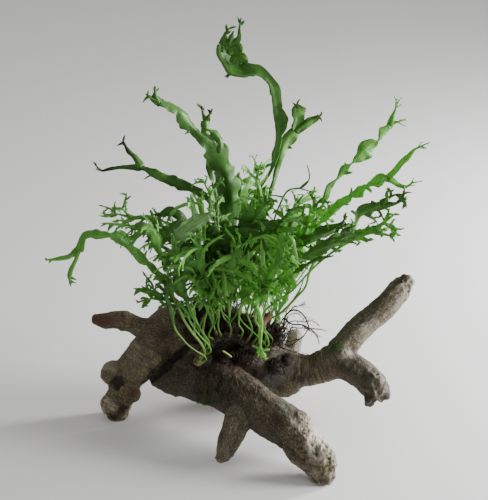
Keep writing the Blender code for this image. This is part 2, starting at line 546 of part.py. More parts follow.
def encloses(tree, point):
    """Whether a ray from the point leaves the closed surface an odd number of times."""
    way = Vector((0.31, 0.52, 0.795)).normalized()
    crossings = 0
    start = point
    while crossings < 50:
        hit = tree.ray_cast(start, way)[0]
        if hit is None:
            break
        crossings += 1
        start = hit + way * 1e-6
    return crossings % 2 == 1


def rhizome_paths(tree):
    """The centre line of each creeping rhizome, laid over the wood."""
    paths = {}
    for name, plan in RHIZOMES.items():
        points = np.array([dropped(tree, x, y, RHIZOME_LIFT) for x, y in plan])
        paths[name] = smooth_rows(points, 5.0 * MM)
    return paths


def rhizome_pieces(paths):
    pieces = []
    for number, (name, path) in enumerate(paths.items()):
        knuckles = 1 + 0.08 * np.sin(np.arange(len(path)) * 1.9 + number)
        mesh = tube_mesh(name, path, RHIZOME_RADIUS * MM * knuckles, 7, 0.02, number)
        pieces.append(plain_object("rhizome_" + name, mesh, (0.12, 0.14, 0.03), 0.75))
    return pieces


def root_mat(wood, tree, rhizomes):
    """The felt of roots: a lumpy mound over the wood, hollowed for the wood and the rhizomes."""
    lumps = []
    chance = np.random.default_rng(7)
    heaps = [(dropped(tree, x, y, 0.0) + chance.uniform(-0.8, 0.8, 3) * MM, radius)
             for x, y, radius in MAT_LUMPS]
    heaps += [(place([lump[:3]])[0], lump[3]) for lump in MAT_CLUMP]
    for centre, radius in heaps:
        shape = bmesh.new()
        bmesh.ops.create_icosphere(shape, subdivisions=2, radius=radius * MM)
        bmesh.ops.translate(shape, verts=shape.verts, vec=centre)
        lumps.append(bpy.data.meshes.new("lump"))
        shape.to_mesh(lumps[-1])
        shape.free()
    mound = joined("mound", lumps)
    skin = mound.modifiers.new("skin", "REMESH")
    skin.mode = "VOXEL"
    skin.voxel_size = 0.0014
    even = mound.modifiers.new("even", "SMOOTH")
    even.factor = 0.5
    even.iterations = 3
    settled(mound)
    thin = mound.modifiers.new("thin", "DECIMATE")
    thin.ratio = MOUND_TRIANGLES / (2 * len(mound.data.polygons))
    settled(mound)
    cut(mound, swollen(wood, MAT_GAP * MM))
    for rhizome in rhizomes:
        cut(mound, swollen(rhizome, MAT_GAP * MM))
    mesh = loose_parts(mound.data)[0]
    bpy.data.objects.remove(mound)
    mat = plain_object("root_mat", mesh, (0.05, 0.03, 0.018), 0.95)
    mesh.calc_loop_triangles()
    thin = mat.modifiers.new("thin", "DECIMATE")
    thin.ratio = MAT_TRIANGLES / len(mesh.loop_triangles)
    return mat


def wiry_roots():
    """Loose root loops at the right of the mat, joined in one branching piece."""
    whole = None
    for number, rows in enumerate(WIRY_ROOTS):
        rows = smooth_rows(rows, 6.0)
        path = place(rows)
        mesh = tube_mesh("wiry", path, np.full(len(path), WIRY_RADIUS * MM), 4, 0.0)
        root = plain_object("wiry_roots" if whole is None else "strand", mesh, (0.07, 0.03, 0.025), 0.7)
        if whole is None:
            whole = root
        else:
            cut(whole, root, "UNION")
    return whole


def on_sheet(point):
    """The (across, up, back) in millimetres of a world position."""
    eye = np.array((0, -EYE_DISTANCE * math.cos(SHEET_LEAN),
                    SHEET_MIDDLE_HEIGHT + EYE_DISTANCE * math.sin(SHEET_LEAN)))
    sight = np.asarray(point, float) - eye
    lean_sin, lean_cos = math.sin(SHEET_LEAN), math.cos(SHEET_LEAN)
    depth = lean_cos * sight[1] - lean_sin * sight[2]
    rise = lean_sin * sight[1] + lean_cos * sight[2]
    return np.array((sight[0] * EYE_DISTANCE / depth, rise * EYE_DISTANCE / depth, point[1])) / MM


def base_rows(paths, rhizome, part, lean, width):
    """The first two rows of a stem, which leaves its rhizome at right angles."""
    path = paths[rhizome]
    at = part * (len(path) - 1)
    low = min(int(at), len(path) - 2)
    centre = path[low] + (path[low + 1] - path[low]) * (at - low)
    along = directions(path)[low]
    up = np.array((0, 0, 1.0)) - along * along[2]
    up /= np.linalg.norm(up)
    side = np.cross(along, up)
    out = math.cos(lean) * up + math.sin(lean) * side
    foot = centre + out * (RHIZOME_RADIUS * 1.1 + STEM_GAP + 0.5) * MM
    return [(*on_sheet(foot), width), (*on_sheet(foot + out * 5 * MM), width)]


def frond_curves(paths, rhizome, part, lean, rows, arms, crest):
    """Fine curves of (across, up, back, width): the stem and blade, then the two arms of its fork."""
    start = base_rows(paths, rhizome, part, math.radians(lean), rows[0][3])
    main = smooth_rows(start + rows, CURVE_STEP)
    if arms is None:
        arms = crest_arms(main, crest)
    curves = [main]
    for arm in arms:
        curves.append(smooth_rows([tuple(main[-1])] + arm, CURVE_STEP))
    return curves


def crest_arms(main, length):
    """A short fork at the end of a blade, its arms turned apart in the sheet."""
    way = main[-1, :3] - main[-4, :3]
    way = way / np.linalg.norm(way)
    width = max(main[-1, 3] * 0.6, 1.6)
    arms = []
    for turn, size in ((CREST_SPREAD, 1.0), (-CREST_SPREAD, 0.8)):
        turned = np.array((way[0] * math.cos(turn) - way[1] * math.sin(turn),
                           way[0] * math.sin(turn) + way[1] * math.cos(turn), way[2]))
        middle = main[-1, :3] + turned * length * size * 0.5
        tip = main[-1, :3] + turned * length * size
        arms.append([(*middle, width), (*tip, 1.0)])
    return arms


def travelled(curves):
    """Distance from the frond's base at each sample of each curve."""
    found = []
    for curve in curves:
        steps = np.linalg.norm(np.diff(curve[:, :3], axis=0), axis=1)
        begin = found[0][-1] if found else 0.0
        found.append(begin + np.concatenate([[0], np.cumsum(steps)]))
    return found


def spread_apart(fronds):
    """Moves fronds nearer or farther along the line of sight until none of them meet.

    Each frond's shift is a broken line over the distance from its base, with a knot every KNOT_STEP.
    Where two fronds cross in the sheet, both are pushed until their depths differ enough.
    """
    owner, way, spot, back, half = [], [], [], [], []
    for number, curves in enumerate(fronds):
        for curve, reached in zip(curves, travelled(curves)):
            owner.append(np.full(len(curve), number))
            way.append(reached)
            spot.append(curve[:, :2])
            back.append(curve[:, 2])
            half.append(curve[:, 3] / 2)
    owner, way, spot = np.concatenate(owner), np.concatenate(way), np.vstack(spot)
    back, half = np.concatenate(back), np.concatenate(half)
    apart = np.hypot(*(spot[:, None] - spot[None]).transpose(2, 0, 1))
    near = apart < half[:, None] + half[None] + SIDE_CLEARANCE
    one, other = np.nonzero(near & (owner[:, None] < owner[None]))
    order = np.lexsort((way[one], owner[other], owner[one]))
    one, other = one[order], other[order]
    fresh = ((np.diff(owner[one]) != 0) | (np.diff(owner[other]) != 0)
             | (np.diff(way[one]) > KNOT_STEP))
    run = np.concatenate([[0], np.cumsum(fresh)])
    first = np.bincount(run, back[one] - back[other]) >= 0
    sign = np.where(first, 1.0, -1.0)[run]
    clear = DEPTH_CLEARANCE + WIDTH_CLEARANCE * (half[one] + half[other])
    knots = int(max(way) / KNOT_STEP) + 3
    shift = np.zeros((len(fronds), knots))
    low = (way / KNOT_STEP).astype(int)
    part = way / KNOT_STEP - low
    for _ in range(SPREAD_ROUNDS):
        now = back + shift[owner, low] * (1 - part) + shift[owner, low + 1] * part
        short = np.maximum(clear - sign * (now[one] - now[other]), 0)
        push = np.zeros((len(fronds), knots))
        weight = np.full((len(fronds), knots), 1e-9)
        for ends, way_sign in ((one, 1), (other, -1)):
            for column, share in ((low[ends], 1 - part[ends]), (low[ends] + 1, part[ends])):
                share = share * (short > 0)
                np.add.at(push, (owner[ends], column), way_sign * sign * short * share * 0.5)
                np.add.at(weight, (owner[ends], column), share)
        push = push / weight
        push[:, 0] = 0
        shift = shift + push * 0.6
        shift[:, 1:-1] = 0.96 * shift[:, 1:-1] + 0.02 * (shift[:, :-2] + shift[:, 2:])
        shift[:, 0] = 0
    print("fronds still short of clearance by", round(float(short.max()), 2), "mm; moved at most",
          round(float(np.abs(shift).max()), 1), "mm")
    moved = []
    for number, curves in enumerate(fronds):
        moved.append([])
        for curve, reached in zip(curves, travelled(curves)):
            curve = curve.copy()
            curve[:, 2] += np.interp(reached, np.arange(knots) * KNOT_STEP, shift[number])
            moved[-1].append(curve)
    return moved


def stations(curve):
    """Samples of a curve, close together where it bends and far apart where it is straight."""
    along = directions(curve[:, :3])
    turn = np.degrees(np.arccos(np.clip((along[1:] * along[:-1]).sum(axis=1), -1, 1)))
    steps = np.linalg.norm(np.diff(curve[:, :3], axis=0), axis=1)
    blade = np.where(curve[1:, 3] > STEM_WIDTH, BLADE_STATION, STEM_STATION)
    effort = np.concatenate([[0], np.cumsum(steps / blade + turn / STATION_TURN)])
    count = max(3, round(effort[-1]) + 1)
    wanted = np.linspace(0, effort[-1], count)
    return np.stack([np.interp(wanted, effort, column) for column in curve.T], axis=1)


def ribbon_frames(curve, twist):
    """Places, side directions and thickness directions along a blade turned to face the sight."""
    path = place(curve[:, :3])
    along = directions(path)
    eye = np.array((0, -EYE_DISTANCE * math.cos(SHEET_LEAN),
                    SHEET_MIDDLE_HEIGHT + EYE_DISTANCE * math.sin(SHEET_LEAN)))
    side = np.cross(path - eye, along)
    side /= np.linalg.norm(side, axis=1)[:, None]
    flat = np.cross(along, side)
    turn = np.radians(twist)[:, None]
    return path, np.cos(turn) * side + np.sin(turn) * flat, np.cos(turn) * flat - np.sin(turn) * side


def frond_mesh(name, curves, twist):
    """A flat leaf on a thin stem, diamond in section, its end forked into two pointed arms."""
    main = stations(curves[0])
    turns = twist * np.linspace(0, 1, len(main)) ** 2
    path, side, flat = ribbon_frames(main, turns)
    half = main[:, 3] / 2 * MM
    thick = np.minimum(half, BLADE_THICKNESS * MM / 2)[:, None]
    toothed = np.where(main[:, 3] > STEM_WIDTH, TOOTH, 0.0)
    even = np.arange(len(main)) % 2
    right = (half * (1 + toothed * (1 - 2 * even)))[:, None]
    left = (half * (1 - toothed * (1 - 2 * even)))[:, None]
    rings = np.stack([path + side * right, path + flat * thick, path - side * left,
                      path - flat * thick], axis=1)
    points = [tuple(point) for point in rings.reshape(-1, 3)]
    faces = [(0, 1, 2, 3)]
    for ring in range(len(main) - 1):
        for corner in range(4):
            here, beside = ring * 4 + corner, ring * 4 + (corner + 1) % 4
            faces.append((here, beside, beside + 4, here + 4))
    last = 4 * (len(main) - 1)
    lean_right = [float((place(arm[-1:, :3])[0] - path[-1]) @ side[-1]) for arm in curves[1:]]
    for arm, lean in zip(curves[1:], lean_right):
        outer = 0 if lean >= max(lean_right) else 2
        sense = 1 if outer == 0 else -1
        rows = stations(arm)
        arm_path, arm_side, arm_flat = ribbon_frames(rows, np.full(len(rows), twist))
        if arm_side[0] @ side[-1] < 0:
            arm_side = -arm_side
        ring = (last + outer, last + 1, last + 3)
        for at in range(1, len(rows) - 1):
            wide = rows[at, 3] / 2 * MM
            edge = arm_side[at] * wide * sense
            thin = arm_flat[at] * min(wide, BLADE_THICKNESS * MM / 2)
            first = len(points)
            points += [tuple(arm_path[at] + edge), tuple(arm_path[at] - 0.6 * edge + thin),
                       tuple(arm_path[at] - 0.6 * edge - thin)]
            faces += [(ring[i], ring[(i + 1) % 3], first + (i + 1) % 3, first + i) for i in range(3)]
            ring = (first, first + 1, first + 2)
        points.append(tuple(arm_path[-1]))
        faces += [(ring[i], ring[(i + 1) % 3], len(points) - 1) for i in range(3)]
    mesh = bpy.data.meshes.new(name)
    mesh.from_pydata(points, [], faces)
    face_outward(mesh)
    return mesh


def centre_on_ground():
    """Hangs every piece on an empty that puts the middle of the object's box over the origin."""
    middle = bpy.data.objects.new("java_fern_on_driftwood", None)
    middle.location = (-BOX_MIDDLE[0] * MM, -BOX_MIDDLE[1] * MM, 0)
    for piece in list(bpy.context.scene.collection.objects):
        piece.parent = middle
    bpy.context.scene.collection.objects.link(middle)


def frond_pieces(paths):
    fronds = spread_apart([frond_curves(paths, *frond[1:4], frond[6], frond[7], frond[8])
                           for frond in FRONDS])
    for (name, _, _, _, colour, twist, *_), curves in zip(FRONDS, fronds):
        plain_object("frond_" + name, frond_mesh(name, curves, twist), colour, 0.45)


def main():
    for obj in list(bpy.data.objects):
        bpy.data.objects.remove(obj)
    wood = cut(fused_wood(), box_below(0.1))
    tree = search_tree(wood.data)
    paths = rhizome_paths(tree)
    rhizomes = rhizome_pieces(paths)
    root_mat(wood, tree, rhizomes)
    sawn_limbs(wood)
    wiry_roots()
    frond_pieces(paths)
    centre_on_ground()


main()
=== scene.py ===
# %% [markdown]
# # A lace-leaved java fern on driftwood
# The real thing is a fern whose creeping rhizomes hold on to a branching root of driftwood with a
# felt of fine brown roots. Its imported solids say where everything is, and this lesson dresses them.

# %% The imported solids
import json
import math
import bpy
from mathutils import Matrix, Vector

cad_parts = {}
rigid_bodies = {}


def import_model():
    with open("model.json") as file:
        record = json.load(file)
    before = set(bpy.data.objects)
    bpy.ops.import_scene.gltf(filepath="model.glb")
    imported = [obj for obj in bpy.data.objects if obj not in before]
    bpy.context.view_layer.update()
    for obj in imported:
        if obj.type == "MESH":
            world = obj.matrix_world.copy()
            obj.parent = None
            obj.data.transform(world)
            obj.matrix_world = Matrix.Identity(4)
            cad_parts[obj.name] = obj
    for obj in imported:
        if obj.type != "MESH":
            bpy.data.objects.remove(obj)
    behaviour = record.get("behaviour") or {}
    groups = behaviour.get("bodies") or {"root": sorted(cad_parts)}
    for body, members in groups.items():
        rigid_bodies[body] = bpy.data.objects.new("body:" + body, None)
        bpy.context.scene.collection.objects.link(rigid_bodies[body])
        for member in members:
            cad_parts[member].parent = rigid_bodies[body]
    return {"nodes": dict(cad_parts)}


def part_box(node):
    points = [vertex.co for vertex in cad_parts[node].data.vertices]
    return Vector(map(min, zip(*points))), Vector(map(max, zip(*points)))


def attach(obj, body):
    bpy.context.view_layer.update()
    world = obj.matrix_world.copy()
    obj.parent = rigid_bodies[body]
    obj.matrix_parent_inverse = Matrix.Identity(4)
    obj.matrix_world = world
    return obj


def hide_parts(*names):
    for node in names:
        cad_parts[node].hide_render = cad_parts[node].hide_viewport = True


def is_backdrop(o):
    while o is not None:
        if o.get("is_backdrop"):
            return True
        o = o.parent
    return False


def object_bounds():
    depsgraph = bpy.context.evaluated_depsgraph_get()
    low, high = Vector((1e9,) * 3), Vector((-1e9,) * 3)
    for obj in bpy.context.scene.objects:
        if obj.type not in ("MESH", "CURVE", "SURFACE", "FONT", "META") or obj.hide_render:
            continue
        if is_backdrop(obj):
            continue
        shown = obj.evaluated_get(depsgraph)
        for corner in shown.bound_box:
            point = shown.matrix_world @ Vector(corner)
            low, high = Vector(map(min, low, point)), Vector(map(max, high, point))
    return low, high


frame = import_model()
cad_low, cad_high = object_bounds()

from types import SimpleNamespace

import bmesh
import bpy
import numpy as np
from mathutils import Vector
from mathutils.bvhtree import BVHTree

MM = 0.001
FULL_TURN = 2 * math.pi
print("packed solids:", len(frame["nodes"]), "box in mm:",
    [round(high - low, 4) * 1000 for low, high in zip(cad_low, cad_high)])

# %% [markdown]
# ## The sheet and the eye
# The plant was laid out on a sheet that leans back by 24 degrees, seen from 0.9 m in front. A place
# is (across, up, back): millimetres to the right and up on the sheet, and the real depth in plan.
# The camera stands where that eye is, so what is laid out lands in the same spot of the picture.

# %% The sheet and the eye
SHEET_LEAN = math.radians(24)
SHEET_SIDE = 0.340
EYE_DISTANCE = 0.900
SENSOR = 36.0
MIDDLE = np.array((0.0020, 0.03755, 0.0))     # where the sheet's middle stands, in plan
AIM = MIDDLE + (0, 0, 0.1044)
EYE = AIM + EYE_DISTANCE * np.array((0, -math.cos(SHEET_LEAN), math.sin(SHEET_LEAN)))


def linked(name, data):
    """A new object of this name and data, in the scene."""
    thing = bpy.data.objects.new(name, data)
    bpy.context.scene.collection.objects.link(thing)
    return thing


def look_along(thing, way):
    """Turns a camera or a lamp to look along a way."""
    thing.rotation_euler = Vector(way).to_track_quat("-Z", "Y").to_euler()


camera = linked("camera", bpy.data.cameras.new("camera"))
camera.data.sensor_width = SENSOR
camera.data.lens = SENSOR * EYE_DISTANCE / SHEET_SIDE
camera.data.clip_start = 0.05
camera.location = EYE
look_along(camera, AIM - EYE)
bpy.context.scene.camera = camera
print("lens", round(camera.data.lens, 1), "mm, eye", [round(float(v), 3) for v in EYE])


# %% Between the sheet and the world
def place(rows):
    """World positions of (across, up, back) rows: lines of sight, followed to their depth in plan."""
    across, up, back = np.asarray(rows, float).T * MM
    eye = EYE - MIDDLE
    sight_y = up * math.sin(SHEET_LEAN) - eye[1]
    reach = (back - eye[1]) / sight_y
    sight_z = up * math.cos(SHEET_LEAN) - EYE_DISTANCE * math.sin(SHEET_LEAN)
    return np.stack([across * reach, back, eye[2] + reach * sight_z], axis=1) + MIDDLE


def on_sheet(points):
    """The (across, up, back) rows of world positions: place() turned round."""
    sight = points - EYE
    depth = math.cos(SHEET_LEAN) * sight[:, 1] - math.sin(SHEET_LEAN) * sight[:, 2]
    rise = math.sin(SHEET_LEAN) * sight[:, 1] + math.cos(SHEET_LEAN) * sight[:, 2]
    scale = EYE_DISTANCE / depth
    return np.stack([sight[:, 0] * scale, rise * scale, points[:, 1] - MIDDLE[1]], axis=1) / MM


# %% [markdown]
# ## Floor and light
# Daylight comes low from the right on to a plain pale floor. A broad lamp makes the floor fade to
# the left and to the back, a small one draws the shadows' edges, and an even world fills the shade.

# %% Floor and light
FLOOR_HALF = 3.0
# Place, size and power of each lamp.
DAYLIGHT = {"broad_daylight": ((1.145, -0.080, 0.351), 0.38, 29.3),
    "narrow_daylight": ((0.735, 0.268, 0.166), 0.14, 16.0)}
LAMP_AIM = Vector((0, 0, 0.08))
SKY = (1.0, 0.99, 0.97)
SKY_STRENGTH = 0.51


OPEN = {}                # "sheet" is the node sheet that was opened last; nodes are added to it


def node_sheet(name):
    """Opens a fresh material's sheet; returns the material and its Principled shader's sockets."""
    finish = bpy.data.materials.new(name)
    finish.use_nodes = True
    OPEN["sheet"] = finish.node_tree
    return finish, finish.node_tree.nodes["Principled BSDF"].inputs


corners = np.array([(-1, -1, 0), (1, -1, 0), (1, 1, 0), (-1, 1, 0)], float) * FLOOR_HALF
mesh = bpy.data.meshes.new("floor")
mesh.from_pydata(corners.tolist(), [], [(0, 1, 2, 3)])
floor = linked("floor", mesh)
finish, surface = node_sheet("pale_floor")
surface["Base Color"].default_value = (0.83, 0.825, 0.82, 1)
surface["Roughness"].default_value = 0.7
mesh.materials.append(finish)
floor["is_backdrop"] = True
for name, (at, size, power) in DAYLIGHT.items():
    lamp = linked(name, bpy.data.lights.new(name, "AREA"))
    lamp.data.size = size
    lamp.data.energy = power
    lamp.location = at
    look_along(lamp, LAMP_AIM - lamp.location)
world = bpy.data.worlds.new("room")
world.use_nodes = True
backdrop = world.node_tree.nodes["Background"].inputs
backdrop["Color"].default_value = (*SKY, 1)
backdrop["Strength"].default_value = SKY_STRENGTH
bpy.context.scene.world = world

# %% [markdown]
# ## Curves through a few rows
# Limbs, stems and roots follow smooth curves through a few given rows. A cubic with slopes taken
# from the neighbouring chords goes through every row and doesn't overshoot.


# %% Curves through a few rows
def courses(text):
    """Lists of rows out of text: a slash between lists, a comma between rows, blanks between numbers."""
    return [[tuple(map(float, row.split())) for row in part.split(",")] for part in text.split("/")]


def named_courses(text):
    """The same with a name and a colon before each list, and a semicolon between lists."""
    pairs = (part.split(":") for part in text.split(";"))
    return {name.strip(): courses(rows)[0] for name, rows in pairs}


def smooth_rows(rows, spacing):
    """A smooth curve through rows, sampled evenly: between two rows the cubic h(t) of their values
    and slopes, a slope being the mean of the two chords' slopes, the shorter chord counting more.
    """
    rows = np.asarray(rows, float)
    chord = np.linalg.norm(np.diff(rows[:, :3], axis=0), axis=1)
    reached = np.concatenate([[0], np.cumsum(chord)])
    slope = np.diff(rows, axis=0) / chord[:, None]
    before, after = chord[:-1, None], chord[1:, None]
    inner = (slope[:-1] * after + slope[1:] * before) / (before + after)
    lean = np.vstack([slope[:1], inner, slope[-1:]])
    way = np.linspace(0, reached[-1], max(3, round(reached[-1] / spacing) + 1))
    part = np.clip(np.searchsorted(reached, way, side="right") - 1, 0, len(chord) - 1)
    span = chord[part][:, None]
    t = (way[:, None] - reached[part][:, None]) / span
    return ((2 * t ** 3 - 3 * t ** 2 + 1) * rows[part] + (3 * t ** 2 - 2 * t ** 3) * rows[part + 1]
        + (t ** 3 - 2 * t ** 2 + t) * span * lean[part] + (t ** 3 - t ** 2) * span * lean[part + 1])


def unit(ways):
    """Each way divided by its own length."""
    return ways / np.maximum(np.linalg.norm(ways, axis=-1, keepdims=True), 1e-12)


def square_to(way, normal):
    """The part of a way that is square to a unit normal: way - normal (way . normal)."""
    return way - normal * (way * normal).sum(axis=-1, keepdims=True)


def travel_of(path):
    """The distance from a path's start to each of its points."""
    return np.concatenate([[0], np.cumsum(np.linalg.norm(np.diff(path, axis=0), axis=1))])


def directions(path):
    """Unit tangents along a path of points."""
    return unit(np.gradient(path, axis=0))


def cross_frames(path):
    """Two unit vectors across a path at each point, carried along without twisting."""
    along = directions(path)
    side = np.cross(along[0], (0.3, 0.5, 0.81))
    sides = []
    for tangent in along:
        side = side - tangent * side.dot(tangent)
        side = side / np.linalg.norm(side)
        sides.append(side)
    sides = np.array(sides)
    return sides, np.cross(along, sides)


# %% [markdown]
# ## Roughness without pictures
# Bark, ruffles and fibres need a height that wanders smoothly and never repeats. Random numbers sit
# on the corners of a lattice, made from each corner's own position, and a point blends its eight.


# %% Roughness without pictures
def wander(points, size, seed=0):
    """Smooth random heights from -1 to 1: lattice values blended by 3t^2 - 2t^3 along each axis."""
    spot = points / size
    cell = np.floor(spot).astype(np.int64)
    t = spot - cell
    t = t * t * (3 - 2 * t)
    height = np.zeros(spot.shape[:-1])
    for corner in np.ndindex(2, 2, 2):
        number = ((cell + corner) * (73856093, 19349663, 83492791)).sum(axis=-1) + seed * 7919
        number = ((number ^ (number >> 13)) * 1274126177) & 0xFFFFFFFF
        number = ((number ^ (number >> 15)) * 668265263) & 0xFFFFFFFF
        value = ((number ^ (number >> 16)) & 0xFFFF) / 32767.5 - 1
        height += value * np.where(corner, t, 1 - t).prod(axis=-1)
    return height


def eased(value, low, high):
    """0 below low, 1 above high, and 3t^2 - 2t^3 between."""
    t = np.clip((value - low) / (high - low), 0, 1)
    return t * t * (3 - 2 * t)


# %% [markdown]
# ## Closed shells from arrays
# Every leaf, hair and root is a closed tube of rings. Their corners are one array of shape (shells,
# rings, corners, 3), their faces follow from counting, and a heap of them becomes one mesh.


# %% Closed shells from arrays
def shell_faces(count, rings, corners):
    """Quads between neighbouring rings, and a fan of triangles round each end's pole."""
    block = rings * corners + 2
    first = (np.arange(count) * block)[:, None, None]
    ring = (np.arange(rings - 1) * corners)[None, :, None]
    here = np.arange(corners)[None, None, :]
    beside = (here + 1) % corners
    low, high = first + ring, first + ring + corners
    quads = np.stack([low + here, low + beside, high + beside, high + here], axis=-1).reshape(-1, 4)
    start = first + 0 * here + block - 2
    last = first + (rings - 1) * corners
    fans = np.concatenate([np.stack([start, first + beside, first + here], axis=-1).reshape(-1, 3),
        np.stack([start + 1, last + here, last + beside], axis=-1).reshape(-1, 3)])
    return quads, fans


def new_heap():
    """An empty heap: lists of corners, faces and paint, and how many corners there are."""
    return {"points": [], "quads": [], "fans": [], "paint": [], "size": 0}


def add_shells(heap, rings, poles, paint=0.0):
    """Adds closed shells: rings (n, rings, corners, 3), poles (n, 2, 3), paint (n, rings, corners, 4)."""
    count, steps, corners = rings.shape[:3]
    quads, fans = shell_faces(count, steps, corners)
    paint = np.broadcast_to(paint, (count, steps, corners, 4))
    ends = paint[:, [0, -1]].mean(axis=2)
    heap["points"].append(np.concatenate([rings.reshape(count, -1, 3), poles], axis=1).reshape(-1, 3))
    heap["paint"].append(np.concatenate([paint.reshape(count, -1, 4), ends], axis=1).reshape(-1, 4))
    heap["quads"].append(quads + heap["size"])
    heap["fans"].append(fans + heap["size"])
    heap["size"] += count * (steps * corners + 2)


def heap_mesh(name, heap, sharp=False):
    """One smooth mesh of all the heap's shells and paint; if sharp, margins stay creased."""
    points, paint = np.vstack(heap["points"]), np.vstack(heap["paint"])
    quads, fans = np.vstack(heap["quads"]), np.vstack(heap["fans"])
    mesh = bpy.data.meshes.new(name)
    mesh.vertices.add(len(points))
    mesh.vertices.foreach_set("co", points.ravel())
    mesh.loops.add(quads.size + fans.size)
    mesh.loops.foreach_set("vertex_index", np.concatenate([quads.ravel(), fans.ravel()]))
    mesh.polygons.add(len(quads) + len(fans))
    begins = np.concatenate([np.arange(len(quads)) * 4, quads.size + np.arange(len(fans)) * 3])
    mesh.polygons.foreach_set("loop_start", begins)
    mesh.update(calc_edges=True)
    mesh.attributes.new("paint", "FLOAT_COLOR", "POINT").data.foreach_set("color", paint.ravel())
    mesh.shade_smooth()
    if sharp:
        ends = np.empty(len(mesh.edges) * 2, np.int32)
        mesh.edges.foreach_get("vertices", ends)
        margin = (paint[ends.reshape(-1, 2), 0] > 0.98).all(axis=1)
        mesh.attributes.new("sharp_edge", "BOOLEAN", "EDGE").data.foreach_set("value", margin)
    return mesh


def new_piece(mesh, finish=None):
    """Links the mesh as an object of the same name that rides with the part."""
    if finish:
        mesh.materials.append(finish)
    piece = linked(mesh.name, mesh)
    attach(piece, "root")
    return piece


def triangles_in(piece):
    """The piece's faces, counted as triangles."""
    return sum(len(face.vertices) - 2 for face in piece.data.polygons)


# %% [markdown]
# ## Many thin shoots at once
# A shoot is a curved line with a lens-shaped section that ends in a point. It leaves its start along
# one way and is pulled aside more and more. A thousand of them are one array.


# %% Many thin shoots at once
def shoot_lines(start, way, pull, length, rings):
    """Centre lines (n, rings, 3): start + length (s way + s^2 pull), with s from 0 to 1."""
    s = np.linspace(0, 1, rings)[None, :, None]
    return start[:, None] + length[:, None, None] * (s * way[:, None] + s ** 2 * pull[:, None])


def lens_shells(heap, line, side, half, thick, paint, corners=4, fold=0.0):
    """Closed shells: line + half cos(a) side + (thick sin(a) + fold half |cos(a)|) flat.

    half and thick are (n, rings), paint is (n, rings, 4) with |cos(a)| for its first channel.
    """
    along = unit(np.gradient(line, axis=1))
    side = unit(square_to(side, along))
    flat = np.cross(along, side)
    angle = np.arange(corners) * FULL_TURN / corners
    cosine, sine = np.cos(angle)[:, None], np.sin(angle)[:, None]
    raised = thick[:, :, None, None] * sine + fold * half[:, :, None, None] * np.abs(cosine)
    rings = (line[:, :, None] + half[:, :, None, None] * cosine * side[:, :, None]
        + raised * flat[:, :, None])
    coats = np.repeat(paint[:, :, None], corners, axis=2)
    coats[..., 0] = np.abs(cosine[:, 0])
    tips = np.stack([line[:, 0], line[:, -1] + along[:, -1] * half[:, -1:]], axis=1)
    add_shells(heap, rings, tips, coats)


# %% [markdown]
# ## The driftwood's form
# The wood is one root that forks, so its skin is one surface without seams. Limbs are tubes, knots
# are balls, and a voxel remesh melts them together. The bark comes after, as wandering heights.

# %% The limbs' rows
# Rows of (across, up, back, radius) along each limb, in millimetres.
LIMBS = named_courses("""
trunk: -60 -60 -26 15, -49 -56 -25 18, -33 -61 -28 20, -13 -67 -32 20, 7 -73 -32 18.5, 28 -82 -30 14;
front_log: -60 -87 -42 6, -50 -87 -43 11, -38 -85 -46 15, -24 -88 -53 16.5, -7.5 -96.5 -69 15,
11 -109 -84 14, 28 -120 -97 13, 41.5 -134 -109 12, 52 -144 -117 10, 55 -154 -122.5 7;
middle_peg: 1 -105 -81 10, -8 -124 -96 8, -13 -137 -104 5.5, -15 -142 -106 3.5;
left_limb: -62 -65 -28 13.5, -71 -77 -32 12.3, -80 -87 -36 12, -83 -98 -40 10, -86 -106 -43 9,
-86 -113 -46 6.5;
left_horn: -62 -56 -25 10, -69 -53.5 -25.5 7.5, -77.5 -49.5 -25.5 6.3, -82 -48 -25.5 6.9,
-86 -47.5 -25.5 6.2, -95 -48 -26.5 5.2, -102 -47 -26 3.2;
right_limb: 24 -80 -30 15, 45 -81.5 -32 10.6, 62 -76 -33 11.3, 70 -72 -33 10.5;
upper_right_branch: 66 -69 -31 10, 75.5 -57 -25 8.8, 86 -47 -17 8.5, 98 -36 -8 8.5, 107 -26 1 6.8,
111 -21 5 4.5;
lower_right_stub: 66 -76 -34 11, 74 -80.5 -39 10.5, 83 -87 -46 9.5, 88.5 -94 -53 9.3, 89 -98 -56.5 7.5;
back_stub: 30 -74 -22 7, 33.5 -64 -17 5.8, 35 -57 -14 4.8;
back_leg: 24 -76 -26 12, 28 -82 -19 11, 31 -88 -10 9.5, 32 -93 -5 7.5""")
# Round lumps on the limbs: (across, up, back, radius).
KNOTS = courses("""
-88 -84 -38 9.3, -89 -105 -45 7.6, -77 -97 -42 7.2, 94.5 -98 -57 4.2, 85 -102 -58 4.5, 36 -118 -98 8,
55 -141 -116 5, -46 -46 -20 10, -22 -60 -16 12, -54 -77 -37 8, 28 -88 -33 12.5""")[0]
LIMB_PITCH = 2.0
RELIEF_PITCH = 4.0
LIMB_CORNERS = 40
LIMB_RIDGES = 0.035
SKIN_VOXEL = 0.00078
END_CAP = np.radians((80, 55, 28))


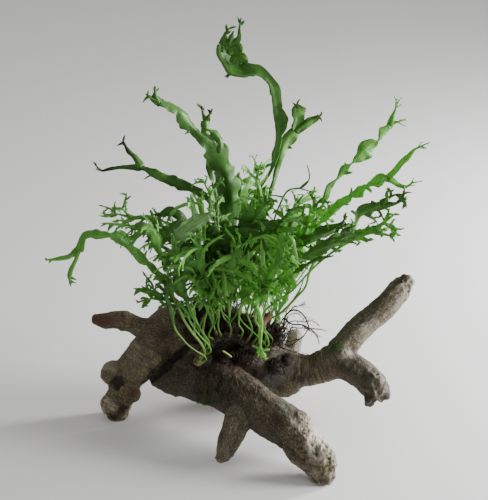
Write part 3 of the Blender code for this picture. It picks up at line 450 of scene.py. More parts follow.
# %% Tubes and knots
def limb_shell(heap, rows, phase):
    """A round-ended tube: radius x (1 + ridges x relief), relief = three sines of angle and travel."""
    rows = smooth_rows(rows, LIMB_PITCH)
    path, radii = place(rows[:, :3]), rows[:, 3] * MM
    along = directions(path)
    reach, shrink = 0.7 * np.sin(END_CAP)[:, None], np.cos(END_CAP)
    head = path[0] - along[0] * radii[0] * reach
    tail = (path[-1] + along[-1] * radii[-1] * reach)[::-1]
    travel = len(END_CAP) + np.arange(len(path)) * LIMB_PITCH / RELIEF_PITCH
    travel = np.concatenate([np.arange(3), travel, travel[-1] + 1 + np.arange(3)])[:, None]
    path = np.vstack([head, path, tail])
    radii = np.concatenate([radii[0] * shrink, radii, radii[-1] * shrink[::-1]])[:, None]
    side, other = cross_frames(path)
    angle = np.arange(LIMB_CORNERS) * FULL_TURN / LIMB_CORNERS
    relief = (np.sin(3 * angle + 0.21 * travel + phase)
        + 0.8 * np.sin(5 * angle - 0.33 * travel + 2.3 * phase)
        + 0.6 * np.sin(2 * angle + 0.55 * travel + 4.1 * phase))
    spread = (radii * (1 + LIMB_RIDGES * relief))[..., None]
    rings = path[:, None] + spread * (np.cos(angle)[:, None] * side[:, None]
        + np.sin(angle)[:, None] * other[:, None])
    add_shells(heap, rings[None], path[None, [0, -1]])


def ball_shell(heap, centre, radius, steps=13, corners=20):
    """A ball: centre + radius (sin a cos b, sin a sin b, -cos a)."""
    a = np.linspace(0, math.pi, steps + 2)[1:-1, None]
    b = np.arange(corners) * FULL_TURN / corners
    rings = centre + radius * np.stack([np.sin(a) * np.cos(b), np.sin(a) * np.sin(b), -np.cos(a) + 0 * b],
        axis=-1)
    poles = centre + radius * np.array([(0, 0, -1), (0, 0, 1)])
    add_shells(heap, rings[None], poles[None])


blank = new_heap()
for number, rows in enumerate(LIMBS.values()):
    limb_shell(blank, rows, 1.7 * number)
for knot in KNOTS:
    ball_shell(blank, place([knot[:3]])[0], knot[3] * MM)
print("limbs", len(LIMBS), "knots", len(KNOTS), "points", blank["size"])


# %% Melted into one skin
def settled(piece):
    """Gives the piece the mesh that its modifiers make, and removes them."""
    bpy.context.view_layer.update()
    shown = piece.evaluated_get(bpy.context.evaluated_depsgraph_get())
    mesh = bpy.data.meshes.new_from_object(shown)
    piece.modifiers.clear()
    old, name, piece.data = piece.data, piece.data.name, mesh
    bpy.data.meshes.remove(old)
    mesh.name = name


def melted(piece, voxel, rounds):
    """Remeshes overlapping shells into one skin on a voxel grid, and smooths the steps away."""
    skin = piece.modifiers.new("skin", "REMESH")
    skin.mode = "VOXEL"
    skin.voxel_size = voxel
    even = piece.modifiers.new("even", "SMOOTH")
    even.factor = 0.5
    even.iterations = rounds
    settled(piece)


def cut_flat(mesh):
    """Cuts the mesh at the ground and closes the cuts with flat faces."""
    shape = bmesh.new()
    shape.from_mesh(mesh)
    everything = shape.verts[:] + shape.edges[:] + shape.faces[:]
    cut = bmesh.ops.bisect_plane(shape, geom=everything, plane_co=(0, 0, 0), plane_no=(0, 0, -1),
        clear_outer=True)["geom_cut"]
    rims = [edge for edge in cut if isinstance(edge, bmesh.types.BMEdge)]
    bmesh.ops.holes_fill(shape, edges=rims)
    bmesh.ops.triangulate(shape, faces=[face for face in shape.faces if len(face.verts) > 4])
    shape.to_mesh(mesh)
    shape.free()


wood = new_piece(heap_mesh("driftwood", blank))
melted(wood, SKIN_VOXEL, 4)
cut_flat(wood.data)
print("skin points", len(wood.data.vertices))

# %% [markdown]
# ## Bark
# Fine fibres run lengthwise on the logs, stand in rings round the right limb, and turn into gnarls
# and pits at the broken ends. To follow the limbs, each point is given its place in its own limb's
# frame: two distances across and one along. The same numbers later steer the colours.


# %% Where each point is on its limb
def limb_places(points):
    """The number of each point's limb, and its place (across, across, along) in the limb's frame."""
    nearest = np.full(len(points), np.inf)
    limb = np.zeros(len(points), int)
    spot = np.zeros((len(points), 3))
    for number, rows in enumerate(LIMBS.values()):
        rows = smooth_rows(rows, 3.0)
        path = place(rows[:, :3])
        side, other = cross_frames(path)
        travel = travel_of(path)
        gap = np.linalg.norm(points[:, None] - path, axis=2) / (rows[:, 3] * MM)
        at = gap.argmin(axis=1)
        gap = gap[np.arange(len(points)), at]
        offset = points - path[at]
        here = np.stack([(offset * side[at]).sum(axis=1), (offset * other[at]).sum(axis=1),
            travel[at] + (offset * directions(path)[at]).sum(axis=1)], axis=1)
        closer = gap < nearest
        nearest[closer], limb[closer], spot[closer] = gap[closer], number, here[closer]
    return limb, spot


def points_of(mesh, field="co"):
    """The mesh's points, or their normals, as an array."""
    flat = np.empty(len(mesh.vertices) * 3, np.float32)
    mesh.vertices.foreach_get(field, flat)
    return flat.reshape(-1, 3).astype(float)


skin_points, skin_normals = points_of(wood.data), points_of(wood.data, "normal")
limb_of, limb_spot = limb_places(skin_points)
print("points on each limb:", np.bincount(limb_of))

# %% How each limb's bark looks
# Strength of fibres, rings and gnarls, where the broken end begins (999: none), bareness, lightness.
# The lightness is painted light and shade: higher on limbs that the low lamps leave in shade, lower
# on limbs that they light. The back stub's bareness is bare wood and a painted highlight.
BARK = named_courses("""
trunk: 0.8 0.5 0.7 999 0 1;
front_log: 1 0.25 0.7 112 0 0.68;
middle_peg: 1.7 0 0.6 40 0.1 1;
left_limb: 0.6 0.8 0.9 44 0 1.6;
left_horn: 0.7 0.5 0.5 48 0 1.35;
right_limb: 0.35 1.2 0.4 999 0 1.2;
upper_right_branch: 0.9 0.4 0.5 60 0.1 0.8;
lower_right_stub: 0.5 0.7 0.6 24 0.1 0.62;
back_stub: 0.4 0 0.4 999 1 1.15;
back_leg: 0.9 0.3 0.8 22 0 1""")
fibrous, ringed, gnarled, end_from, bareness_and_highlight, tone_and_painted_light = np.array(list(BARK.values()))[limb_of, 0].T
broken = eased(limb_spot[:, 2] / MM, end_from - 8, end_from + 6)

# Stains, and hollows that are dented and painted dark as shade, laid out on the sheet:
# (across, up, half width, half height, strength).
STAINS_AND_SHADE = named_courses("""
worn: -95 -47.5 11 4.5 1, -76 -97 4.5 4 0.8, -30 -96 9 5 0.3, -8 -76 12 8 0.4, 44 -146 8 5 0.4;
green: -26 -103 10 3 0.5, -34 -98 6 3 0.3, 64 -66 5 3 0.9, 29 -107 6 7 0.3, 24 -72 12 4 0.25;
pale: 69 -68 4 6 0.5, 95 -83 4.5 9 0.4, 92 -98 6 4 0.3, 50 -129 8 18 1, 113 -22 3 5 0.4, 88 -52 14 6 0.2,
-91 -78 6 6 0.25;
hollow: -86.5 -90.5 4.4 4.6 0.7, -55 -57 6 3.4 0.25, 40 -124 4 2 0.3, 50 -137 2 4 0.35, -80 -108 4 2 0.4""")
# The crease between two limbs, dented and painted dark as shade: its (across, up) rows, and half its
# width in millimetres.
CREASE = np.array(courses("-68 -92, -60 -86, -52 -78, -44 -71, -39 -67")[0])
CREASE_HALF = 3.6
HOLLOWS = list(STAINS_AND_SHADE).index("hollow")
HOLLOW_DEPTH = 3.0
FRONT_LOG = list(LIMBS).index("front_log")
FRONT_END_LIGHT = 0.45     # how much lighter the front log's broken end is
# Painted shade: wood darker than its limb where it lies in shade, in the crevices below the roots:
# ellipses as above.
PAINTED_SHADE = courses("24 -84 17 9 0.6, -46 -84 8 7 0.35, -22 -99 18 5 0.3, -80 -104 10 8 0.25")[0]


# %% Stains, painted shade and the bark's relief
def stain_and_shade_masks(points, normals):
    """Masks from 0 to 1 of ragged ellipses and creases, on the side that faces the eye."""
    spot = on_sheet(points)
    facing = eased((normals * unit(EYE - points)).sum(axis=1), -0.25, 0.15)
    ragged = 0.35 * wander(points, 4 * MM, 3) + 0.2 * wander(points, 1.6 * MM, 4)
    masks = []
    for ellipses in (*STAINS_AND_SHADE.values(), PAINTED_SHADE):
        mask = np.zeros(len(points))
        for across, up, wide, high, strength in ellipses:
            away = np.hypot((spot[:, 0] - across) / wide, (spot[:, 1] - up) / high)
            mask = np.maximum(mask, strength * (1 - eased(away + ragged, 0.6, 1.25)))
        masks.append(mask * facing)
    away = np.full(len(points), np.inf)
    for one, other in zip(CREASE[:-1], CREASE[1:]):
        part = ((spot[:, :2] - one) @ (other - one) / ((other - one) @ (other - one))).clip(0, 1)
        gap = np.linalg.norm(spot[:, :2] - one - part[:, None] * (other - one), axis=1)
        away = np.minimum(away, gap)
    dent = facing * (1 - eased(away / CREASE_HALF + 0.4 * ragged, 0.0, 1.0))
    masks[HOLLOWS] = np.maximum(masks[HOLLOWS], dent)
    return np.array(masks)


def bark_relief(points, spot, hollow):
    """Gnarls + fibres + rings + crags - pits - hollows, in millimetres; a crag is 0.4 - |height|."""
    gnarls = wander(points, 11 * MM) + 0.5 * wander(points, 4 * MM, 1)
    gnarls = (0.9 + 0.5 * broken) * gnarled * gnarls
    bend = 0.8 * MM * wander(points, 6 * MM, 5)[:, None]
    fibres = fibrous * (0.45 * wander((spot + bend) * (1, 1, 0.14), 2.8 * MM, 2)
        + 0.26 * wander((spot + bend) * (1, 1, 0.25), 1.4 * MM, 6) + 0.20 * wander(points, 1.3 * MM, 7))
    rings = ringed * (1 - broken) * 0.34 * wander((spot + 2 * bend) * (0.12, 0.12, 1), 1.6 * MM, 8)
    crags = broken * (2.6 * (0.4 - np.abs(wander((spot + bend) * (1, 1, 0.4), 5.0 * MM, 12)))
        + 1.2 * (0.4 - np.abs(wander(points + bend, 2.2 * MM, 13))))
    pits = broken * 1.3 * np.maximum(wander(points, 2.2 * MM, 9) - 0.3, 0)
    return gnarls + fibres + rings + crags - pits - HOLLOW_DEPTH * hollow


worn, green, pale, hollow, painted_shade = stain_and_shade_masks(skin_points, skin_normals)
# The front log's broken end is paler wood; the painted shade darkens the crevices below the roots.
tone_and_painted_light = (tone_and_painted_light + FRONT_END_LIGHT * broken * (limb_of == FRONT_LOG)) * (1 - painted_shade)
relief = bark_relief(skin_points, limb_spot, hollow)
relief *= eased(skin_points[:, 2] / MM, 0.0, 2.0)
skin_points += skin_normals * relief[:, None] * MM
skin_points[:, 2] = np.maximum(skin_points[:, 2], 0)
wood.data.vertices.foreach_set("co", skin_points.ravel())
wood.data.update()
skin_normals = points_of(wood.data, "normal")
print("relief from", round(relief.min(), 2), "to", round(relief.max(), 2), "mm")


# %% The skin remembers its frame
def remember(mesh, name, kind, values):
    """Stores one value, vector or colour for each point of the mesh."""
    field = {"FLOAT": "value", "FLOAT_VECTOR": "vector", "FLOAT_COLOR": "color"}[kind]
    mesh.attributes.new(name, kind, "POINT").data.foreach_set(field, np.ascontiguousarray(values).ravel())


remember(wood.data, "grain", "FLOAT_VECTOR", limb_spot + (limb_of * 0.31)[:, None])
# Pale on the pale stains and bare limbs, and on the broken ends' ridges: bare wood, with a painted highlight
# on the crags.
pale = np.maximum(np.maximum(pale, bareness_and_highlight), 0.5 * broken * eased(relief, 0.3, 1.9))
remember(wood.data, "stain_and_shade", "FLOAT_COLOR", np.stack([worn, green, pale, hollow], axis=1))
remember(wood.data, "relief", "FLOAT", relief)
remember(wood.data, "ringed", "FLOAT", ringed)
remember(wood.data, "tone_and_painted_light", "FLOAT", tone_and_painted_light)
wood.data.shade_smooth()
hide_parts(*LIMBS)
print("driftwood triangles", triangles_in(wood))

# %% [markdown]
# ## Nodes in few words
# A procedural finish is a sheet of small sums. These helpers add one node each and link it, so a
# finish below reads as the sum that it is.


# %% Nodes in few words
def fill(inputs, values):
    """Gives sockets a number, a colour, or a link from another socket."""
    for key, value in values.items():
        if isinstance(value, bpy.types.NodeSocket):
            OPEN["sheet"].links.new(value, inputs[key])
        else:
            inputs[key].default_value = value


def node(kind, sockets=None, **settings):
    """Adds a node, sets it up, and fills its sockets."""
    new = OPEN["sheet"].nodes.new("ShaderNode" + kind)
    for key, value in settings.items():
        setattr(new, key, value)
    fill(new.inputs, sockets or {})
    return new


def stored(name, output="Fac"):
    """What the mesh remembers under a name."""
    return node("Attribute", attribute_name=name).outputs[output]


def painted():
    """The four channels of the paint: the place across, the place along, brown or red, and tone."""
    paint = node("Attribute", attribute_name="paint").outputs
    return [*node("SeparateColor", {0: paint["Color"]}).outputs[:3], paint["Alpha"]]


def object_place():
    return node("TexCoord").outputs["Object"]


def noise(vector, scale, detail=3.0, roughness=0.55):
    sockets = {"Vector": vector, "Scale": scale, "Detail": detail, "Roughness": roughness}
    return node("TexNoise", sockets).outputs["Fac"]


def spread(value, low, high, to_low=0.0, to_high=1.0):
    """The value's range low..high spread over to_low..to_high, and held at both ends."""
    sockets = {"Value": value, "From Min": low, "From Max": high, "To Min": to_low, "To Max": to_high}
    return node("MapRange", sockets).outputs["Result"]


def sums(operation, one, other=0.0):
    return node("Math", {0: one, 1: other}, operation=operation).outputs["Value"]


def mixed(part, one, other, blend="MIX"):
    """A mix of two colours: part 0 is the first, part 1 the second."""
    colours = [(*c, 1) if isinstance(c, tuple) and len(c) == 3 else c for c in (one, other)]
    return node("Mix", {0: part, 6: colours[0], 7: colours[1]}, data_type="RGBA",
        blend_type=blend).outputs[2]


def layered(colour, *layers):
    """Lays colours over a colour, each as strong as its value's range spread over 0 to a strength."""
    for value, low, high, strength, paint in layers:
        colour = mixed(spread(value, low, high, 0, strength), colour, paint)
    return colour


def bumped(height, strength, distance):
    """The normal of a surface with this height."""
    sockets = {"Height": height, "Strength": strength, "Distance": distance}
    return node("Bump", sockets).outputs["Normal"]


def new_group(name, takes, gives):
    """Opens a node group's sheet with named sockets; returns it and its two ends."""
    tree = OPEN["sheet"] = bpy.data.node_groups.new(name, "ShaderNodeTree")
    for direction, sockets in (("INPUT", takes), ("OUTPUT", gives)):
        for label, kind in sockets.items():
            tree.interface.new_socket(label, in_out=direction, socket_type="NodeSocket" + kind)
    return tree, tree.nodes.new("NodeGroupInput").outputs, tree.nodes.new("NodeGroupOutput").inputs


# %% [markdown]
# ## Strands, as a shared effect
# Bark, rhizome and root felt are all strands: noise that is fine across and long along. The group
# squeezes a place by a size across and one along, and puts out the noise as a value.


# %% The strands group
def strands_group():
    """The noise of place / (across, across, along)."""
    tree, takes, gives = new_group("strands", {"Place": "Vector", "Across": "Float", "Along": "Float"},
        {"Strands": "Float"})
    size = node("CombineXYZ", {"X": takes["Across"], "Y": takes["Across"], "Z": takes["Along"]})
    squeezed = node("VectorMath", {0: takes["Place"], 1: size.outputs[0]}, operation="DIVIDE")
    fill(gives, {"Strands": noise(squeezed.outputs[0], 1.0, 3.0, 0.6)})
    return tree


STRANDS = strands_group()


def strands(spot, across, along):
    sockets = {"Place": spot, "Across": across, "Along": along}
    return node("Group", sockets, node_tree=STRANDS).outputs["Strands"]


def turned(spot, degrees):
    """The place turned by (x, y, z) degrees, to lay strands in another direction."""
    turn = tuple(math.radians(part) for part in degrees)
    return node("Mapping", {"Vector": spot, "Rotation": turn}).outputs["Vector"]


# %% [markdown]
# ## The bark's colours
# Wet driftwood is a grey brown that drifts to red, olive and grey. Pale straw strands lie over it,
# every hollow and low place is painted nearly black as shade, each limb is painted lighter or darker
# for the light it gets, and stains sit where the skin remembers them.

# %% Bark
# Dark gaps between fibres, and the colour of the painted shade in hollows and low places.
GAP_DARK_AND_SHADE = (0.012, 0.009, 0.006)
BARK_BROWN = (0.078, 0.060, 0.034)
BARK_GREY = (0.104, 0.087, 0.055)
BARK_RED = (0.075, 0.044, 0.030)
BARK_OLIVE = (0.066, 0.060, 0.020)
STRAW = (0.255, 0.215, 0.115)
WORN_RED = (0.060, 0.026, 0.019)
ALGAE = (0.016, 0.060, 0.028)
MOSS = (0.040, 0.115, 0.016)
BARE_PALE_AND_HIGHLIGHT = (0.40, 0.36, 0.28)
BARK_BUMP = 0.0010


def bark_finish():
    """Strands, specks and stains over a brown that drifts to grey, red and olive, with painted shade in
    hollows and low places and each limb's painted light and shade.
    """
    finish, surface = node_sheet("bark")
    grain, here = stored("grain", "Vector"), object_place()
    stain_and_shade = node("Attribute", attribute_name="stain_and_shade").outputs
    red, green_part, pale_part = node("SeparateColor", {0: stain_and_shade["Color"]}).outputs[:3]
    fine = strands(grain, 0.0005, 0.0028)
    crossed = strands(turned(grain, (28, -24, 0)), 0.0006, 0.0030)
    rings = strands(grain, 0.010, 0.0008)
    specks = noise(here, 700.0, 2.0)
    drift_red = noise(turned(here, (0, 40, 70)), 42.0, 2.0)

    weave = sums("MULTIPLY", sums("ADD", fine, crossed), 0.5)
    ringing = sums("MULTIPLY", spread(stored("ringed"), 0.3, 1.2), 0.6)
    weave = node("Mix", {0: ringing, 2: weave, 3: rings}, data_type="FLOAT").outputs[0]
    pale_weave = node("Mix", {0: ringing, 2: crossed, 3: rings}, data_type="FLOAT").outputs[0]
    colour = layered(BARK_BROWN, (noise(here, 55.0, 2.0), 0.42, 0.62, 1, BARK_GREY),
        (drift_red, 0.55, 0.70, 0.7, BARK_RED), (drift_red, 0.45, 0.32, 0.7, BARK_OLIVE),
        (weave, 0.54, 0.36, 0.9, GAP_DARK_AND_SHADE), (pale_weave, 0.53, 0.68, 0.75, STRAW),
        (specks, 0.60, 0.76, 0.4, STRAW))
    # Pale bare wood, with the painted highlights on the broken ends' crags and the back stub.
    bare_and_highlight = sums("MULTIPLY", pale_part, spread(weave, 0.36, 0.52, 0.25, 1.0))
    colour = mixed(bare_and_highlight, colour, BARE_PALE_AND_HIGHLIGHT)
    colour = mixed(sums("MULTIPLY", red, 0.85), colour, WORN_RED)
    growth = mixed(spread(green_part, 0.6, 0.9), ALGAE, MOSS)
    patchy = sums("MULTIPLY", green_part, spread(specks, 0.35, 0.55, 0.35, 1.0))
    colour = mixed(patchy, colour, growth)
    # Painted shade: darker where the relief sinks low.
    colour = layered(colour, (stored("relief"), 0.1, -1.6, 0.8, GAP_DARK_AND_SHADE))
    # Painted light and shade: each limb's lightness scales its colour.
    colour = node("VectorMath", {0: colour, "Scale": stored("tone_and_painted_light")}, operation="SCALE")
    # Painted shade: the hollows and the crease go nearly black.
    colour = mixed(sums("MULTIPLY", stain_and_shade["Alpha"], 0.85), colour.outputs[0], GAP_DARK_AND_SHADE)
    rise = sums("ADD", weave, sums("MULTIPLY", specks, 0.35))
    fill(surface, {"Base Color": colour, "Roughness": spread(weave, 0.3, 0.7, 0.92, 0.62),
        "Normal": bumped(rise, 0.9, BARK_BUMP), "Specular IOR Level": 0.35})
    return finish


wood.data.materials.clear()
wood.data.materials.append(bark_finish())
print("bark over", len(BARK), "limbs")

# %% [markdown]
# ## Where the stems leave the rhizomes
# Three rhizomes creep over the wood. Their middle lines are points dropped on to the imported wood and
# lifted off it, as the solids were laid out, so the stems start where the solid stems do.

# %% The rhizomes' middle lines
# Plan positions (across, back) in millimetres.
RHIZOMES = named_courses("""
front: -28 -62, -26 -54, -19 -48, -8 -46, 4 -46, 12 -45;
middle: -24 -32, -12 -33, 4 -35, 18 -34;
back: -20 -18, -4 -17, 10 -18, 20 -19""")
RHIZOME_RADIUS = 2.8
RHIZOME_LIFT = 6.6
RHIZOME_PITCH = 5.0
STEM_GAP = 0.3
DROP_FROM = 0.2


def solid_wood():
    """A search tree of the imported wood."""
    corners, faces = [], []
    for name in LIMBS:
        mesh = frame["nodes"][name].data
        faces += [tuple(v + len(corners) for v in face.vertices) for face in mesh.polygons]
        corners += [vertex.co.copy() for vertex in mesh.vertices]
    return BVHTree.FromPolygons(corners, faces)


def dropped(tree, across, back, lift):
    """The point lift off the wood's upper side at a plan position, all in millimetres."""
    above = Vector((across * MM + MIDDLE[0], back * MM + MIDDLE[1], DROP_FROM))
    hit, facing = tree.ray_cast(above, Vector((0, 0, -1)))[:2]
    return np.array(hit + facing * lift * MM)


wood_tree = solid_wood()
rhizome_lines = {name: smooth_rows([dropped(wood_tree, x, y, RHIZOME_LIFT) for x, y in plan],
    RHIZOME_PITCH * MM) for name, plan in RHIZOMES.items()}
for name, line in rhizome_lines.items():
    low, high = np.array(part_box("rhizome_" + name))
    off = np.abs(line.min(axis=0) + line.max(axis=0) - low - high).max() / 2
    print("rhizome", name, "off its solid by", round(float(off) / MM, 2), "mm")
